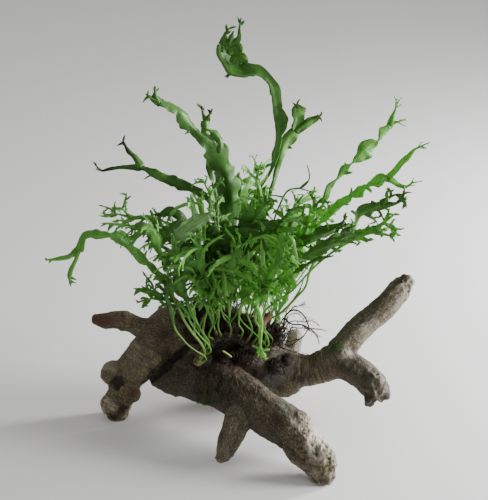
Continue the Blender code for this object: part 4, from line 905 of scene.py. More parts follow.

# %% [markdown]
# ## The fronds' courses
# Each frond is a stem that widens into a blade and forks into two arms. Its rows are read off the
# sheet, its base comes from its rhizome, and its habit says how it is dressed.

# %% The fronds' rows
# A head, then (across, up, back, width) rows of the blade and of each arm, in millimetres. The head
# is name, rhizome, green, part of the rhizome, lean, twist, crest's length, and marks: habit (else
# lacy), tone, facing, fold, burnt, leaves more or less, their widest, finish, pale_stem, clean (no
# shoots), low (may hang below the crown), spiky (crest), and rib, the place of a rib from -1 to 1.
FROND_TEXT = """\
tall_left middle green 0.28 0 8 0 habit=broad tone=0.4 facing=14 fold=1.8 burnt=0.15 finish=dark rib0=0.12
/ -9 -25 -36 1.9, -7.5 -5 -37 2.4, -6.8 12 -38 5, -8 25 -40 9, -9.5 40 -43 14, -15 56 -47 15, -22 73 -51 13,
-31 80 -54 11, -39 88 -57 9.5, -44 94 -59 8.5, -51 98 -61 7.5, -57 101 -63 6.5 /
-60 105 -64 4, -60.5 110 -64.5 1.5 /
-62 103 -64 4, -66 105.5 -65 1.5

behind_tall_left middle dark 0.14 -20 20 0 habit=broad burnt=0.9
/ -14 -20 -27 1.8, -16 10 -22 2.2, -19 40 -18 4, -23 65 -15 5.5, -25.5 80 -13 5, -25.5 88 -12 4.5 /
-28 93 -11 2.5, -28.5 98 -10 1.2 /
-23.5 92 -12 2.5, -21.5 96 -12 1.2

dark_left_arm middle dark 0.04 -30 15 0 habit=broad tone=0.35 facing=0 fold=1.4 burnt=1 rib0=-0.3
/ -15 -30 -30 1.8, -12 -8 -26 2.4, -11 12 -22 5, -20 30 -16 7.5, -30.6 39 -10 8, -40 44 -5 7.5, -51 48 0 7.5,
-62 53 4 7, -70 56.5 7 6 /
-74 63 9 4, -79 68 11 3.5, -82.5 75 13 1.5 /
-78 57 9 4, -92 55 12 3, -97 54 13 2.4, -101 58 14 1.2

wispy_upper_left front green 0.42 10 20 10 habit=wiry burnt=0.5
/ -19 -30 -58 1.8, -22 -10 -60 2, -25 10 -60 2.2, -23.5 25 -60 2.6, -23 38 -60 3

bright_upper_left front light 0.34 25 -15 7 habit=smooth leaves=-2
/ -24 -36 -64 1.8, -26 -20 -68 2, -27 5 -70 2.6, -28 22 -70 3.5, -30 32 -70 4

glossy_curled front light 0.26 5 -25 5 habit=smooth tone=0.8 facing=0 leaves=-3 finish=milky
/ -34 -40 -66 2, -44 -20 -72 2.4, -48 -2 -76 5, -45 8 -77 8, -38 16 -77 9, -30 21 -76 7, -24 24 -75 4

long_drooping_left front green 0.16 25 10 0 habit=broad tone=0.95 facing=8 low=1 rib0=-0.4
/ -35 -42 -62 2, -42 -30.6 -65 3, -53 -20 -69 4.5, -60.5 -13 -72 5.5, -68.7 -6 -74 6.5, -76 0.7 -77 7,
-81 6 -79 7, -88 9.5 -81 7, -95 11 -83 6.5, -101 12.2 -84 6, -107 11 -85 5.5, -111 5.4 -86 5,
-113 -0.7 -87 5 /
-119.7 -4.8 -88 4, -126.5 -6 -89 3.5, -135 -6.8 -90 1.5 /
-114.5 -7 -87.5 3.5, -117 -12 -88 3.5, -119 -19 -88 3, -117 -23 -88 1.3

arching_front_left front green 0.06 35 10 6 leaves=-5 pale_stem=1
/ -35 -56 -72 2.6, -41.5 -45.6 -76 2.6, -47.6 -32 -79 2.6, -51 -19 -81 2.8, -53.7 -9 -82 3, -57.8 1.4 -83 4,
-59 7 -84 5, -64 16 -85 5.5, -70 17.7 -86 5, -74 15.5 -87 4

lacy_far_left middle green 0 -40 15 0 leaves=-4
/ -30 -20 -42 1.8, -46 6 -46 2, -57 17 -49 2.6, -64 22 -51 4, -70 22 -52 4, -76 22 -53 3.5 /
-81 26 -54 2, -83 29 -54 1 /
-82 23.5 -54 2.5, -88 25 -55 1

dark_arch_left middle dark 0.09 10 20 6 habit=smooth
/ -26 -20 -40 1.8, -37 5 -42 2, -39.4 17 -44 4, -45 23 -46 5, -50 26.5 -47 5, -56 24 -48 4

low_left front green 0.12 55 10 0 leaves=-6 low=1
/ -36 -50 -72 1.6, -42 -39 -76 2, -49 -34.7 -79 3, -55 -33 -81 4 /
-60 -28 -82 2.5, -63.5 -25 -83 1 /
-62 -33 -82 2.5, -68 -34 -83 1

curled_low_left front dark 0 50 15 4 leaves=-6
/ -40 -62 -78 1.6, -45.6 -56 -82 2, -48.3 -48 -85 2.5, -49 -40 -87 4, -51.7 -34 -88 4, -53 -29 -88 3

tall_curl middle dark 0.5 0 10 0 habit=broad tone=0.45 facing=-24 fold=1.5 rib0=-0.72
/ -1 -25 -37 2, 3 0 -39 2.5, 8 25 -41 4, 13 43 -43 6, 19.7 55 -44 7.5, 22.4 67 -44 8.5, 23.8 78 -45 9,
23.8 90 -45 9.5, 22.4 100.6 -46 10, 21 109 -46 10, 17.7 115 -46 10, 14 119 -46 9.5, 10 122 -46 9,
4.8 122.6 -46 8.5, 0 122.6 -46 8.5, -5.4 124.6 -46 9.5, -9.5 129 -46 10, -12.9 134.5 -46 9, -13.8 140 -46 7 /
-13.5 146 -46 3.5, -9.5 151 -46 1.3 /
-9 141 -46 4.5, -5 143 -46 4, -3 151 -46 2.5, -2 158 -46 1.2

right_of_tall middle green 0.62 -10 -12 0 habit=broad tone=0.75 facing=18 fold=1.6 burnt=0.45 finish=dark
rib0=-0.3 rib1=-0.8
/ 4 -25 -34 1.9, 11 5 -30 2.4, 16 30 -26 4, 20.4 47.6 -22 6, 23 57 -20 7, 27 67 -17 7.5, 31 75 -14 7.5,
35 81 -12 7 /
37 90 -10 3.5, 36 99 -9 1.2 /
43.5 86.5 -10 6.5, 48 89 -8 5, 53 92 -7 1.5

right_upper middle light 0.84 -15 10 0 habit=broad tone=0.5 facing=6 finish=green pale_stem=1 spiky=1
rib0=-0.35
/ 16 -35 -30 1.8, 30 -15 -24 2, 40 2 -18 2.4, 46.2 11.6 -13 3, 51.7 24 -8 3.5, 55.8 35 -4 4.5, 59 43.5 0 6.5,
65 50 3 7.5, 68.7 55 5 6.5, 73.4 59 7 6, 79 64 10 7, 84 69 12 9, 91 74 15 8, 95 80 18 6.5, 99 84.5 20 5.5 /
102 93 22 3, 104.5 100.5 24 1.2 /
102 86.5 21 3.5, 107 87.5 22 1.2

right_middle middle green 0.94 10 -10 0 habit=broad tone=0.8 spiky=1
/ 22 -38 -38 1.8, 33 -18 -40 2, 40 0 -42 2.4, 45 11.6 -43 3, 51.7 19 -44 3.5, 59 26.5 -45 4, 66 32 -46 4.5,
73 36.7 -47 4.5, 80 41 -48 4.8, 87 46 -49 5, 92 49 -50 5, 97 49.5 -50 5 /
101 52 -50 4.5, 106 58.5 -51 4, 111 63 -51 3.5, 115.6 68 -52 2.8, 121 71 -52 1.2 /
101 47 -51 4, 105 44.5 -51 3.5, 110 43 -52 3, 115.5 46.5 -52 1.2

right_lacy front dark 1 10 10 0 tone=0.7 burnt=0.6 leaves=-5 pale_stem=1
/ 14 -52 -56 1.8, 26 -42 -60 2, 36 -33 -62 2.2, 42 -24.5 -64 2.4, 44.5 -15.6 -66 2.6, 49.6 -6 -67 3,
57 0.7 -69 4, 65 7 -70 5.5, 75 14.5 -72 6, 79.6 23.5 -73 6, 87 28 -74 6, 94 30.6 -75 5 /
99 36 -76 3, 104.5 38 -77 1.2 /
101 31 -76 3.5, 108.5 34 -77 1.2

right_lacy_low front green 0.9 25 20 0 leaves=-5
/ 12 -48 -62 1.8, 34 -26 -70 2, 58 -3 -74 2.4, 72 6 -76 3, 82 12 -77 4, 89 15 -78 4 /
95 18 -78 3, 101 17 -79 1 /
95 11 -79 3, 103 9 -80 1

broad_right middle dark 0.78 5 15 6 habit=broad tone=0.5
/ 14 -30 -46 1.8, 28 -8 -50 3, 38 5 -53 6, 48 9 -55 7, 59 13 -57 6, 66 17 -58 4

broad_right_low front dark 0.8 20 15 7 leaves=-5
/ 10 -40 -66 1.8, 30 -14 -74 3, 45.6 -2 -78 5, 61 4 -81 5.5, 70 10 -82 4.5

short_right middle light 1 20 10 5 pale_stem=1
/ 22 -46 -44 1.8, 25 -39.5 -48 2.4, 28.6 -33 -51 3.5, 29.5 -27 -53 3.5

pale_drooping_front front light 0.66 35 5 6 habit=forked tone=0.6 facing=4 pale_stem=1 low=1
/ -3 -50 -66 1.8, -2 -38 -74 2.4, 1.4 -32.5 -78 3, 5.4 -35 -80 4, 9.5 -41 -82 4.5, 11.6 -49 -83 4.5,
11.6 -55 -84 4, 11 -61 -85 3.5, 11 -66 -86 3

bright_lacy_centre front light 0.46 25 -10 6 tone=0.75 leaves=3 pale_stem=1
/ -17 -46 -66 1.8, -18 -28 -76 2, -18 -16 -82 3, -14 -10 -84 4, -6 -11 -85 4.5, 0 -14 -86 3.5

lacy_upper_centre middle green 0.42 10 10 9 leaves=2
/ -3 -20 -46 1.8, 3 10 -50 2.2, 12 28 -53 3, 11 38 -54 3.5, 8.5 48 -55 3.5

star_lacy middle green 0.7 10 10 8 leaves=3 widest=7.5
/ 8 -28 -48 1.8, 17 -2 -56 2, 23 14 -59 2.4, 26.5 21 -60 3

wire_upper_right back dark 0.7 10 15 9 habit=wiry burnt=0.8 clean=1
/ 12 -20 -24 1.8, 18 10 -22 1.8, 24 30 -21 2, 31 41 -20 2, 38 42 -19 2.2

dark_across front dark 0.3 0 12 4 habit=smooth tone=0.1 leaves=10 widest=11
/ -21 -34 -58 1.8, -17 -8 -64 3, -10 9 -68 6, 2.7 13.6 -70 7, 14 15.5 -71 6, 22 17 -71 3

broad_green_centre middle green 0.55 15 10 5 habit=smooth tone=0.15 leaves=8 widest=10
/ 1 -24 -52 1.8, -1 0 -60 3, 3 15.6 -63 7, 10 25 -65 7, 15 32 -66 4

arching_right_centre front light 0.74 20 10 5 habit=smooth leaves=1 widest=3
/ 0 -34 -68 1.8, 2 -8 -76 2.6, 8 7 -79 4, 16 9 -81 5.5, 26 4 -83 5.5, 34 -5.4 -84 3.5

pale_right_centre front light 0.85 5 5 4 habit=smooth widest=3
/ 8 -36 -64 1.8, 20 -8 -72 2, 27 8 -76 4, 31 8.5 -77 5.5, 34 1 -78 4.5, 36 -5 -78 3

light_right middle light 0.9 0 10 8 widest=8 finish=green
/ 20 -28 -46 1.8, 34 -2 -50 2.2, 42 14 -53 4, 46 24 -54 5, 48 30 -55 4

broad_stem_left front green 0.2 45 5 6 leaves=-3
/ -34 -46 -72 2.4, -38 -36 -77 3, -42 -26 -80 5, -45 -14 -82 5, -47 -6 -83 3

front_low_left front green 0.38 40 30 9 tone=0.7 leaves=-1 pale_stem=1
/ -21 -50 -72 1.8, -25 -28 -82 3, -29 -10 -88 5, -31 2 -91 4

front_low_centre front green 0.54 40 -30 9 tone=0.5 widest=7.5 pale_stem=1
/ -10 -48 -72 1.8, -10 -22 -84 3, -7 -6 -90 5, -3 2 -92 4

front_low_right front green 0.94 45 30 9 tone=0.45 leaves=-2 widest=7.5
/ 8 -46 -74 1.8, 14 -26 -86 3, 20 -13 -91 4.5, 26 -6 -93 3.5

back_left back green 0.05 -30 45 8
/ -24 -20 -8 1.8, -34 0 6 3, -42 10 18 5, -50 15 28 5, -56 17 36 4

back_centre back dark 0.35 -25 55 8 habit=broad leaves=6 widest=9
/ -6 -14 -6 1.8, -8 14 8 3, -10 36 20 7, -12 48 30 7, -15 56 38 5

back_right back green 0.8 -30 -45 8
/ 20 -20 -4 1.8, 31 2 10 3, 40 16 22 6, 50 22 32 6, 56 26 40 4

back_low_left back green 0.18 -50 40 8
/ -18 -24 2 1.8, -26 -8 18 3, -32 0 34 5, -38 2 46 4

back_low_right back dark 0.94 -45 -40 8 leaves=-2
/ 25 -32 0 1.8, 30 -15 16 3, 35 -7 32 5, 44 -2 42 4

back_upper back green 0.55 -5 35 8 leaves=4 widest=9
/ 3 -14 -12 1.8, 1 14 -6 3, 0 32 0 6, 4 46 5 6, 8 54 8 4

middle_left middle green 0.36 15 40 8 tone=0.3 leaves=5 widest=9
/ -9 -22 -46 1.8, -14 2 -52 3, -19 18 -56 5, -20 28 -58 4

middle_right back green 0.88 15 40 9 leaves=2 widest=8
/ 18 -26 -20 1.8, 27 0 -20 2.4, 33 18 -20 4, 36 32 -20 4"""


def read_frond(text):
    """A frond out of its text, angles in radians but for the twist and the facing."""
    head, rows = text.split("/", 1)
    name, rhizome, green, part, lean, twist, crest, *marks = head.split()
    marks = dict(mark.split("=") for mark in marks)
    own = {mark: value if value.isalpha() else float(value) for mark, value in marks.items()}
    main, *arms = courses(rows)
    return {"name": name, "rhizome": rhizome, "green": green, "part": float(part),
        "lean": math.radians(float(lean)), "twist": float(twist), "crest": float(crest), "rows": main,
        "arms": arms, **own}


FRONDS = [read_frond(text) for text in FROND_TEXT.split("\n\n")]
print("fronds", len(FRONDS), "of them lacy", sum("habit" not in own for own in FRONDS))


# %% Curves of a frond
CURVE_STEP = 3.0
CREST_SPREAD = math.radians(30)


def base_rows(own, width):
    """The first two rows of a stem, which leaves its rhizome at right angles."""
    path = rhizome_lines[own["rhizome"]]
    at = own["part"] * (len(path) - 1)
    low = min(int(at), len(path) - 2)
    centre = path[low] + (path[low + 1] - path[low]) * (at - low)
    along = directions(path)[low]
    up = np.array((0, 0, 1.0)) - along * along[2]
    up /= np.linalg.norm(up)
    out = math.cos(own["lean"]) * up + math.sin(own["lean"]) * np.cross(along, up)
    foot = centre + out * (RHIZOME_RADIUS * 1.1 + STEM_GAP + 0.5) * MM
    return [(*row, width) for row in on_sheet(np.array([foot, foot + out * 5 * MM]))]


def crest_arms(main, length):
    """A short fork at the end of a blade, its arms turned apart in the sheet."""
    way = unit(main[-1, :3] - main[-4, :3])
    width = max(main[-1, 3] * 0.6, 1.6)
    arms = []
    for turn, size in ((CREST_SPREAD, 1.0), (-CREST_SPREAD, 0.8)):
        turned_way = np.array((way[0] * math.cos(turn) - way[1] * math.sin(turn),
            way[0] * math.sin(turn) + way[1] * math.cos(turn), way[2]))
        arms.append([(*(main[-1, :3] + turned_way * length * size * 0.5), width),
            (*(main[-1, :3] + turned_way * length * size), 1.0)])
    return arms


def frond_curves(own):
    """Fine curves of (across, up, back, width): the stem and blade, then the two arms of its fork."""
    main = smooth_rows(base_rows(own, own["rows"][0][3]) + own["rows"], CURVE_STEP)
    arms = own["arms"] or crest_arms(main, own["crest"])
    return [main] + [smooth_rows([tuple(main[-1])] + arm, CURVE_STEP) for arm in arms]


def travelled(curves):
    """The distance from the frond's base at each sample of each curve."""
    first = travel_of(curves[0][:, :3])
    return [first] + [first[-1] + travel_of(curve[:, :3]) for curve in curves[1:]]


# %% Fronds that cross are pushed apart
SIDE_CLEARANCE = 1.4
DEPTH_CLEARANCE = 2.0
WIDTH_CLEARANCE = 0.30
KNOT_STEP = 12.0
SPREAD_ROUNDS = 400


def spread_apart(fronds):
    """Pushes fronds that cross in the sheet nearer or farther, until their depths differ enough.

    Each frond's shift is a broken line over the distance from its base, with a knot every KNOT_STEP.
    """
    reached = [travelled(curves) for curves in fronds]
    owner = np.repeat(np.arange(len(fronds)), [sum(map(len, curves)) for curves in fronds])
    way, samples = np.concatenate(sum(reached, [])), np.vstack(sum(fronds, []))
    spot, back, half = samples[:, :2], samples[:, 2], samples[:, 3] / 2
    apart = np.hypot(*(spot[:, None] - spot[None]).transpose(2, 0, 1))
    near = apart < half[:, None] + half[None] + SIDE_CLEARANCE
    one, other = np.nonzero(near & (owner[:, None] < owner[None]))
    order = np.lexsort((way[one], owner[other], owner[one]))
    one, other = one[order], other[order]
    fresh = ((np.diff(owner[one]) != 0) | (np.diff(owner[other]) != 0) | (np.diff(way[one]) > KNOT_STEP))
    run = np.concatenate([[0], np.cumsum(fresh)])
    first = np.bincount(run, back[one] - back[other]) >= 0
    sign = np.where(first, 1.0, -1.0)[run]
    clear = DEPTH_CLEARANCE + WIDTH_CLEARANCE * (half[one] + half[other])
    knots = int(max(way) / KNOT_STEP) + 3
    shift = np.zeros((len(fronds), knots))
    low = (way / KNOT_STEP).astype(int)
    part = way / KNOT_STEP - low
    for _ in range(SPREAD_ROUNDS):
        now = back + shift[owner, low] * (1 - part) + shift[owner, low + 1] * part
        short = np.maximum(clear - sign * (now[one] - now[other]), 0)
        push = np.zeros((len(fronds), knots))
        weight = np.full((len(fronds), knots), 1e-9)
        for ends, way_sign in ((one, 1), (other, -1)):
            for column, share in ((low[ends], 1 - part[ends]), (low[ends] + 1, part[ends])):
                share = share * (short > 0)
                np.add.at(push, (owner[ends], column), way_sign * sign * short * share * 0.5)
                np.add.at(weight, (owner[ends], column), share)
        push = push / weight
        push[:, 0] = 0
        shift = shift + push * 0.6
        shift[:, 1:-1] = 0.96 * shift[:, 1:-1] + 0.02 * (shift[:, :-2] + shift[:, 2:])
        shift[:, 0] = 0
    print("fronds still short of clearance by", round(float(short.max()), 2), "mm; moved at most",
        round(float(np.abs(shift).max()), 1), "mm")
    for number, curves in enumerate(fronds):
        for curve, travel in zip(curves, reached[number]):
            curve[:, 2] += np.interp(travel, np.arange(knots) * KNOT_STEP, shift[number])
    return fronds


curves = spread_apart([frond_curves(own) for own in FRONDS])
frond_lines = {own["name"]: lines for own, lines in zip(FRONDS, curves)}

# %% [markdown]
# ## Blades
# A frond is one closed form from its wiry stem to its forked end, a thin lens whose halves fold up
# from a midrib. Each margin swells and shrinks on its own and waves out of the leaf's plane, and the
# whole ribbon turns to and fro round its line.

# %% Habits
# swell, ruffle, fold, side shoots' gap and length, sprays, small leaves, and the crest's length.
HABITS = {"broad": (0.26, 0.40, 0.45, 60.0, 4.0, 0, 0, 4.5),
    "smooth": (0.22, 0.40, 0.40, 40.0, 4.0, 1, 3, 4.5), "lacy": (0.28, 0.50, 0.35, 8.5, 8.5, 4, 6, 6.0),
    "forked": (0.16, 0.22, 0.22, 12.0, 5.0, 0, 0, 5.0), "wiry": (0.16, 0.30, 0.20, 7.0, 6.0, 1, 1, 7.0)}
BLADE_STEP = 1.0
BLADE_CORNERS = 16
STEM_WIDTH = 2.4
LEAFY_WIDTH = 4.0
STEM_SLIM = 0.60         # a stem's width over its solid's
BLADE_THICK = 0.15
STEM_THICK = 0.60
RIB = 0.16
TURNING = {"broad": 20, "smooth": 18, "lacy": 30, "forked": 8, "wiry": 20}   # to and fro, in degrees
STEM_WAVER = 1.3         # how far a stem strays from its smooth course, in millimetres
# Narrow necks and wide lobes: rows of (across, up, width) that the widths run through.
WIDTHS = named_courses("""
tall_left 0: -7.5 -5 2.4, -6.8 12 5, -8 25 9, -9.5 40 12.5, -15 56 13.5, -22 73 11.5, -28 78 8, -33 82 5.5,
-39 88 7, -44 94 4.2, -51 98 5.5, -57 101 5;
arching_right_centre 0: 2 -8 2, 8 7 2.6, 16 9 3.4, 26 4 3.2, 34 -5.4 2.6;
pale_right_centre 0: 20 -8 2, 27 8 2.8, 31 8.5 3.6, 34 1 3.8, 36 -5 2.6;
pale_drooping_front 0: -2 -38 2, 1.4 -32.5 2.6, 5.4 -35 3.2, 9.5 -41 3.4, 11.6 -49 3.2, 11.6 -55 2.8,
11 -61 3, 11 -66 2.4;
tall_curl 0: 8 25 2.4, 13 43 2.6, 19.7 55 3, 22.4 67 4, 23.8 78 3.6, 23.8 90 7, 22.4 100.6 5.5, 21 109 6,
14 119 5.5, 4.8 122.6 7, 0 122.6 8.5, -5.4 124.6 12, -9.5 129 13.5, -12.9 134.5 12, -13.8 140 7;
right_upper 0: 51.7 24 2, 55.8 35 3.4, 59 43.5 4.4, 63 48 2.4, 68.7 55 5.5, 73 59 1.6, 79 64 8, 84 69 11,
88 72 8, 91 74 2, 95 80 6, 99 84.5 3.5;
right_middle 0: 45 11.6 2.2, 51.7 19 3, 59 26.5 6, 66 32 7.5, 73 36.7 3, 79 40.5 7, 84 44 2.8, 89 47.5 8.5,
93 49 7, 97 49.5 3;
long_drooping_left 0: -42 -30.6 2.4, -53 -20 4, -60.5 -13 5, -65 -9 3.4, -68.7 -6 6.5, -76 0.7 5, -81 6 8,
-86 8.5 9, -91 10 3.4, -95 11 5, -101 12.2 7, -106 11.3 5, -109 8 3.6, -112.5 1 5.5;
dark_left_arm 0: -20 30 4, -30.6 39 5.5, -36 42 4, -45 46 8.5, -51 48 9.5, -57 51 6, -62 53 7, -67 55 4,
-70 56.5 5;
right_of_tall 0: 16 30 3, 20.4 47.6 3.6, 23 57 5, 27 67 7, 31 75 8, 35 81 7;
right_of_tall 1: 35 81 7, 37 90 9.5, 36.5 95 9, 36 99 3""")
# Lobes of their own, at the depth of the blade that they grow on: rows of (across, up, width).
LOBES = named_courses("""
tall_curl 0: -8 127 5, -4 131 7.5, 0 130 6, 3 127 1.5;
tall_curl 1: -11 133 5, -7 138 7, -3 137 5, -1 134 1.5;
tall_curl 2: -11 136 3, -9 144 4, -7 149 1.4;
tall_left 0: -17 66 3, -16 74 4.5, -20 80 4.5, -26 82 1.5;
wire_upper_right 0: 38 42 2, 42 44.5 1.6, 44.5 49 1.5, 44 54 1.3, 43 57.5 1""")


# %% The blade's surface
def ribbon_frames(rows, turn):
    """Places, side and flat ways along a blade that faces the eye, then turns round its line."""
    path = place(rows[:, :3])
    along = directions(path)
    side = unit(np.cross(path - EYE, along))
    flat = np.cross(along, side)
    turn = turn[:, None]
    return path, np.cos(turn) * side + np.sin(turn) * flat, np.cos(turn) * flat - np.sin(turn) * side


def widths_of(rows, marks):
    """A curve's widths, run straight from mark to mark where there are marks."""
    if marks is None:
        return rows[:, 3]
    marks = np.array(marks, float)
    at = np.linalg.norm(rows[:, None, :2] - marks[:, :2], axis=2).argmin(axis=0)
    return np.where(np.arange(len(rows)) < at[0], rows[:, 3].clip(None, marks[0, 2]),
        np.interp(np.arange(len(rows)), at, marks[:, 2]))


def blade_shell(heap, curve, habit, turn, seed, reach, tone, burnt, marks=None, rib_at=0.0, fold_more=1.0,
        stem_pale=1.0):
    """A blade's rings: path + half width u m(u) side + (t v + fold + ruffle + rib) flat.

    u = cos a runs between the margins, v = sin a between the faces, off from the rib. m swells each
    margin, the fold grows as off, the ruffle as off^3, and the rib is a narrow hump at off = 0.
    """
    swell, ruffle, fold = HABITS[habit][:3]
    rows = smooth_rows(curve, BLADE_STEP)
    rows[:, 3] = widths_of(rows, marks)
    turn = turn(np.linspace(0, 1, len(rows)), rows)
    leafy = eased(rows[:, 3], STEM_WIDTH, LEAFY_WIDTH)
    path, side, flat = ribbon_frames(rows, turn)
    way = travel_of(path) / MM
    track = np.stack([way, np.full(len(way), seed * 3.7), np.zeros(len(way))], axis=1)
    loose = STEM_WAVER * eased(way, 4, 22) * eased(way, way[-1] * 0.75, way[-1] * 0.4) * (reach[0] == 0)
    path = path + ((loose * wander(track, 19.0, 33))[:, None] * side
        + (loose * wander(track, 13.0, 34))[:, None] * flat) * MM
    half = rows[:, 3] / 2 * (STEM_SLIM + (1 - STEM_SLIM) * leafy) / np.cos(turn).clip(0.75)
    angle = np.arange(BLADE_CORNERS) * FULL_TURN / BLADE_CORNERS
    u, v = np.cos(angle), np.sin(angle)
    off = np.abs(u - rib_at) / (1 + abs(rib_at))
    both = 0.8 * wander(track, 9.0, 9)
    margins = [both + wander(track, 6.0, 11 + edge) + 0.5 * wander(track, 2.6, 15 + edge) for edge in (0, 1)]
    margins = [1 + leafy * swell * margin for margin in margins]
    waves = [1.3 * wander(track, 6.0, 21 + edge) + 0.6 * wander(track, 2.8, 25 + edge) for edge in (0, 1)]
    reach_out = np.where(u > 0, margins[0][:, None], margins[1][:, None]) * u * half[:, None]
    wave = np.where(u > rib_at, waves[0][:, None], waves[1][:, None])
    fold = fold_more * fold * (0.7 + 0.8 * wander(track, 14.0, 27))[:, None]
    thick = BLADE_THICK + (STEM_THICK - BLADE_THICK) * (1 - leafy)
    rib = RIB * (1 + 5 * (abs(rib_at) > 0.6)) * leafy[:, None] * np.exp(-(off / 0.17) ** 2) * np.sign(v)
    raised = (thick[:, None] * v * np.sqrt(np.abs(half[:, None])).clip(0.4, 1.4) + rib
        + (leafy * half)[:, None] * (fold * off + ruffle * off ** 3 * wave))
    rings = path[:, None] + (side[:, None] * reach_out[..., None] + flat[:, None] * raised[..., None]) * MM
    blister = 0.28 * leafy[:, None] * wander(rings, 3.2 * MM, 31 + int(seed))
    rings = rings + flat[:, None] * blister[..., None] * MM
    paint = np.empty((len(rows), BLADE_CORNERS, 4))
    paint[..., 1] = np.interp(way, [0, way[-1]], reach)[:, None]
    paint[..., 0] = off * leafy[:, None] + 0.6 * (1 - leafy[:, None]) * eased(paint[..., 1], 0.5, 0.75)
    paint[..., 2] = (burnt * eased(paint[..., 1], 0.88, 1.0)
        - stem_pale * (1 - leafy[:, None]) * eased(paint[..., 1], 0.7, 0.35))
    paint[..., 3] = tone
    add_shells(heap, rings[None], path[None, [0, -1]], paint[None])
    return SimpleNamespace(path=path, side=side, flat=flat, way=way, leafy=leafy, right=rings[:, 0],
        left=rings[:, BLADE_CORNERS // 2], reach=paint[:, 0, 1])


# %% [markdown]
# ## Forks and lace
# The fern's tips fork again and again, and lacy fronds carry such shoots all along their margins.
# All shoots of one order are made together; points along them start the next, shorter order.


# %% Shoots that fork
SHOOT_RINGS = 7
SHOOT_THICK = 0.20
SHOOT_FOLD = 0.35
POINTED = np.array((0.7, 0.95, 1.0, 0.9, 0.7, 0.45, 0.12))
WIDENING = np.array((0.40, 0.70, 0.92, 1.0, 0.9, 0.65, 0.12))
# How shoots grow: profile, bend, sag, where forks begin, their share of the length, and their lean.
ANTLER = (POINTED, 0.45, 0.0, 0.25, (0.38, 0.65), (28, 60))
HOOKED = (POINTED, 0.9, 0.1, 0.35, (0.35, 0.6), (25, 60))
SPIKY = (POINTED, 0.25, 0.0, 0.5, (0.3, 0.5), (15, 30))
STRIP = (WIDENING, 0.35, 0.5, 0.5, (0.2, 0.38), (18, 42))


def forked_shoots(heap, chance, start, way, flat, length, width, forks, tone, brown, growth=ANTLER):
    """Shoots from many starts: start + length (s way + s^2 pull), each order forking from the last.

    forks says for each further order how many shoots leave a shoot, left and right by turns.
    """
    if not len(start):
        return
    profile, bend, sag, begin, share, fork_lean = growth
    s = np.linspace(0, 1, SHOOT_RINGS)
    for order in range(len(forks) + 1):
        count = len(start)
        way, side = unit(way), unit(np.cross(flat, way))
        flat = np.cross(way, side)
        pull = chance.uniform(-bend, bend, (count, 1)) * side
        pull = pull + chance.uniform(-0.35, 0.35, (count, 1)) * flat
        pull = pull + sag * chance.uniform(0.2, 1.0, (count, 1)) * np.array((0, 0, -1))
        line = shoot_lines(start, way, pull, length * MM, SHOOT_RINGS)
        half = width[:, None] / 2 * profile * MM
        thick = np.minimum(half, SHOOT_THICK * MM) * 0.8
        paint = np.empty((count, SHOOT_RINGS, 4))
        paint[..., 1] = 0.8 + 0.2 * s
        paint[..., 2] = brown[:, None] * (0.35 + 0.65 * s)
        paint[..., 3] = tone[:, None] + chance.uniform(-0.12, 0.12, count)[:, None]
        lens_shells(heap, line, side[:, None], half, thick, paint, 4, SHOOT_FOLD)
        if order == len(forks):
            return
        each = forks[order]
        parent = np.repeat(np.arange(count), each)
        turn_side = np.tile(np.where(np.arange(each) % 2, 1.0, -1.0), count)
        turn_side = turn_side * chance.choice((-1, 1), count)[parent]
        at = np.tile(begin + (0.95 - begin) * (np.arange(each) + 0.5) / each, count)
        at = (at + chance.uniform(-0.06, 0.06, count * each))[:, None]
        start = start[parent] + length[parent, None] * MM * (at * way[parent] + at ** 2 * pull[parent])
        heading = unit(way[parent] + 2 * at * pull[parent])
        across = unit(square_to(side[parent], heading))
        turn = turn_side * np.radians(chance.uniform(*fork_lean, len(parent)))
        tilt = chance.uniform(-0.3, 0.3, (len(parent), 1))
        way = np.cos(turn)[:, None] * heading + np.sin(turn)[:, None] * across + tilt * flat[parent]
        flat = flat[parent]
        length = length[parent] * chance.uniform(*share, len(parent)) * (1.15 - 0.5 * at[:, 0])
        width = width[parent] * 0.78
        tone, brown = tone[parent], brown[parent]
        profile = POINTED


# %% The crown's lower edge
# (across, up) on the sheet, in millimetres: below it hang only stems.
CROWN_EDGE = courses("""
-140 -40, -90 -30, -66 -37, -50 -35, -37 -40, -20 -41, -6 -40, 18 -39, 28 -35, 35 -27, 41 -13, 52 -8,
62 -5, 72 0, 82 4, 140 10""")[0]
CROWN_MIDDLE = place([(4, -10, -45)])[0]


def over_edge(points):
    """How far points stand over the crown's lower edge, in millimetres on the sheet."""
    spot = on_sheet(points.reshape(-1, 3))
    return (spot[:, 1] - np.interp(spot[:, 0], *np.array(CROWN_EDGE, float).T)).reshape(points.shape[:-1])


def inside_box(points):
    """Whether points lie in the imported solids' box."""
    return ((points > np.array(cad_low)) & (points < np.array(cad_high))).all(axis=-1)


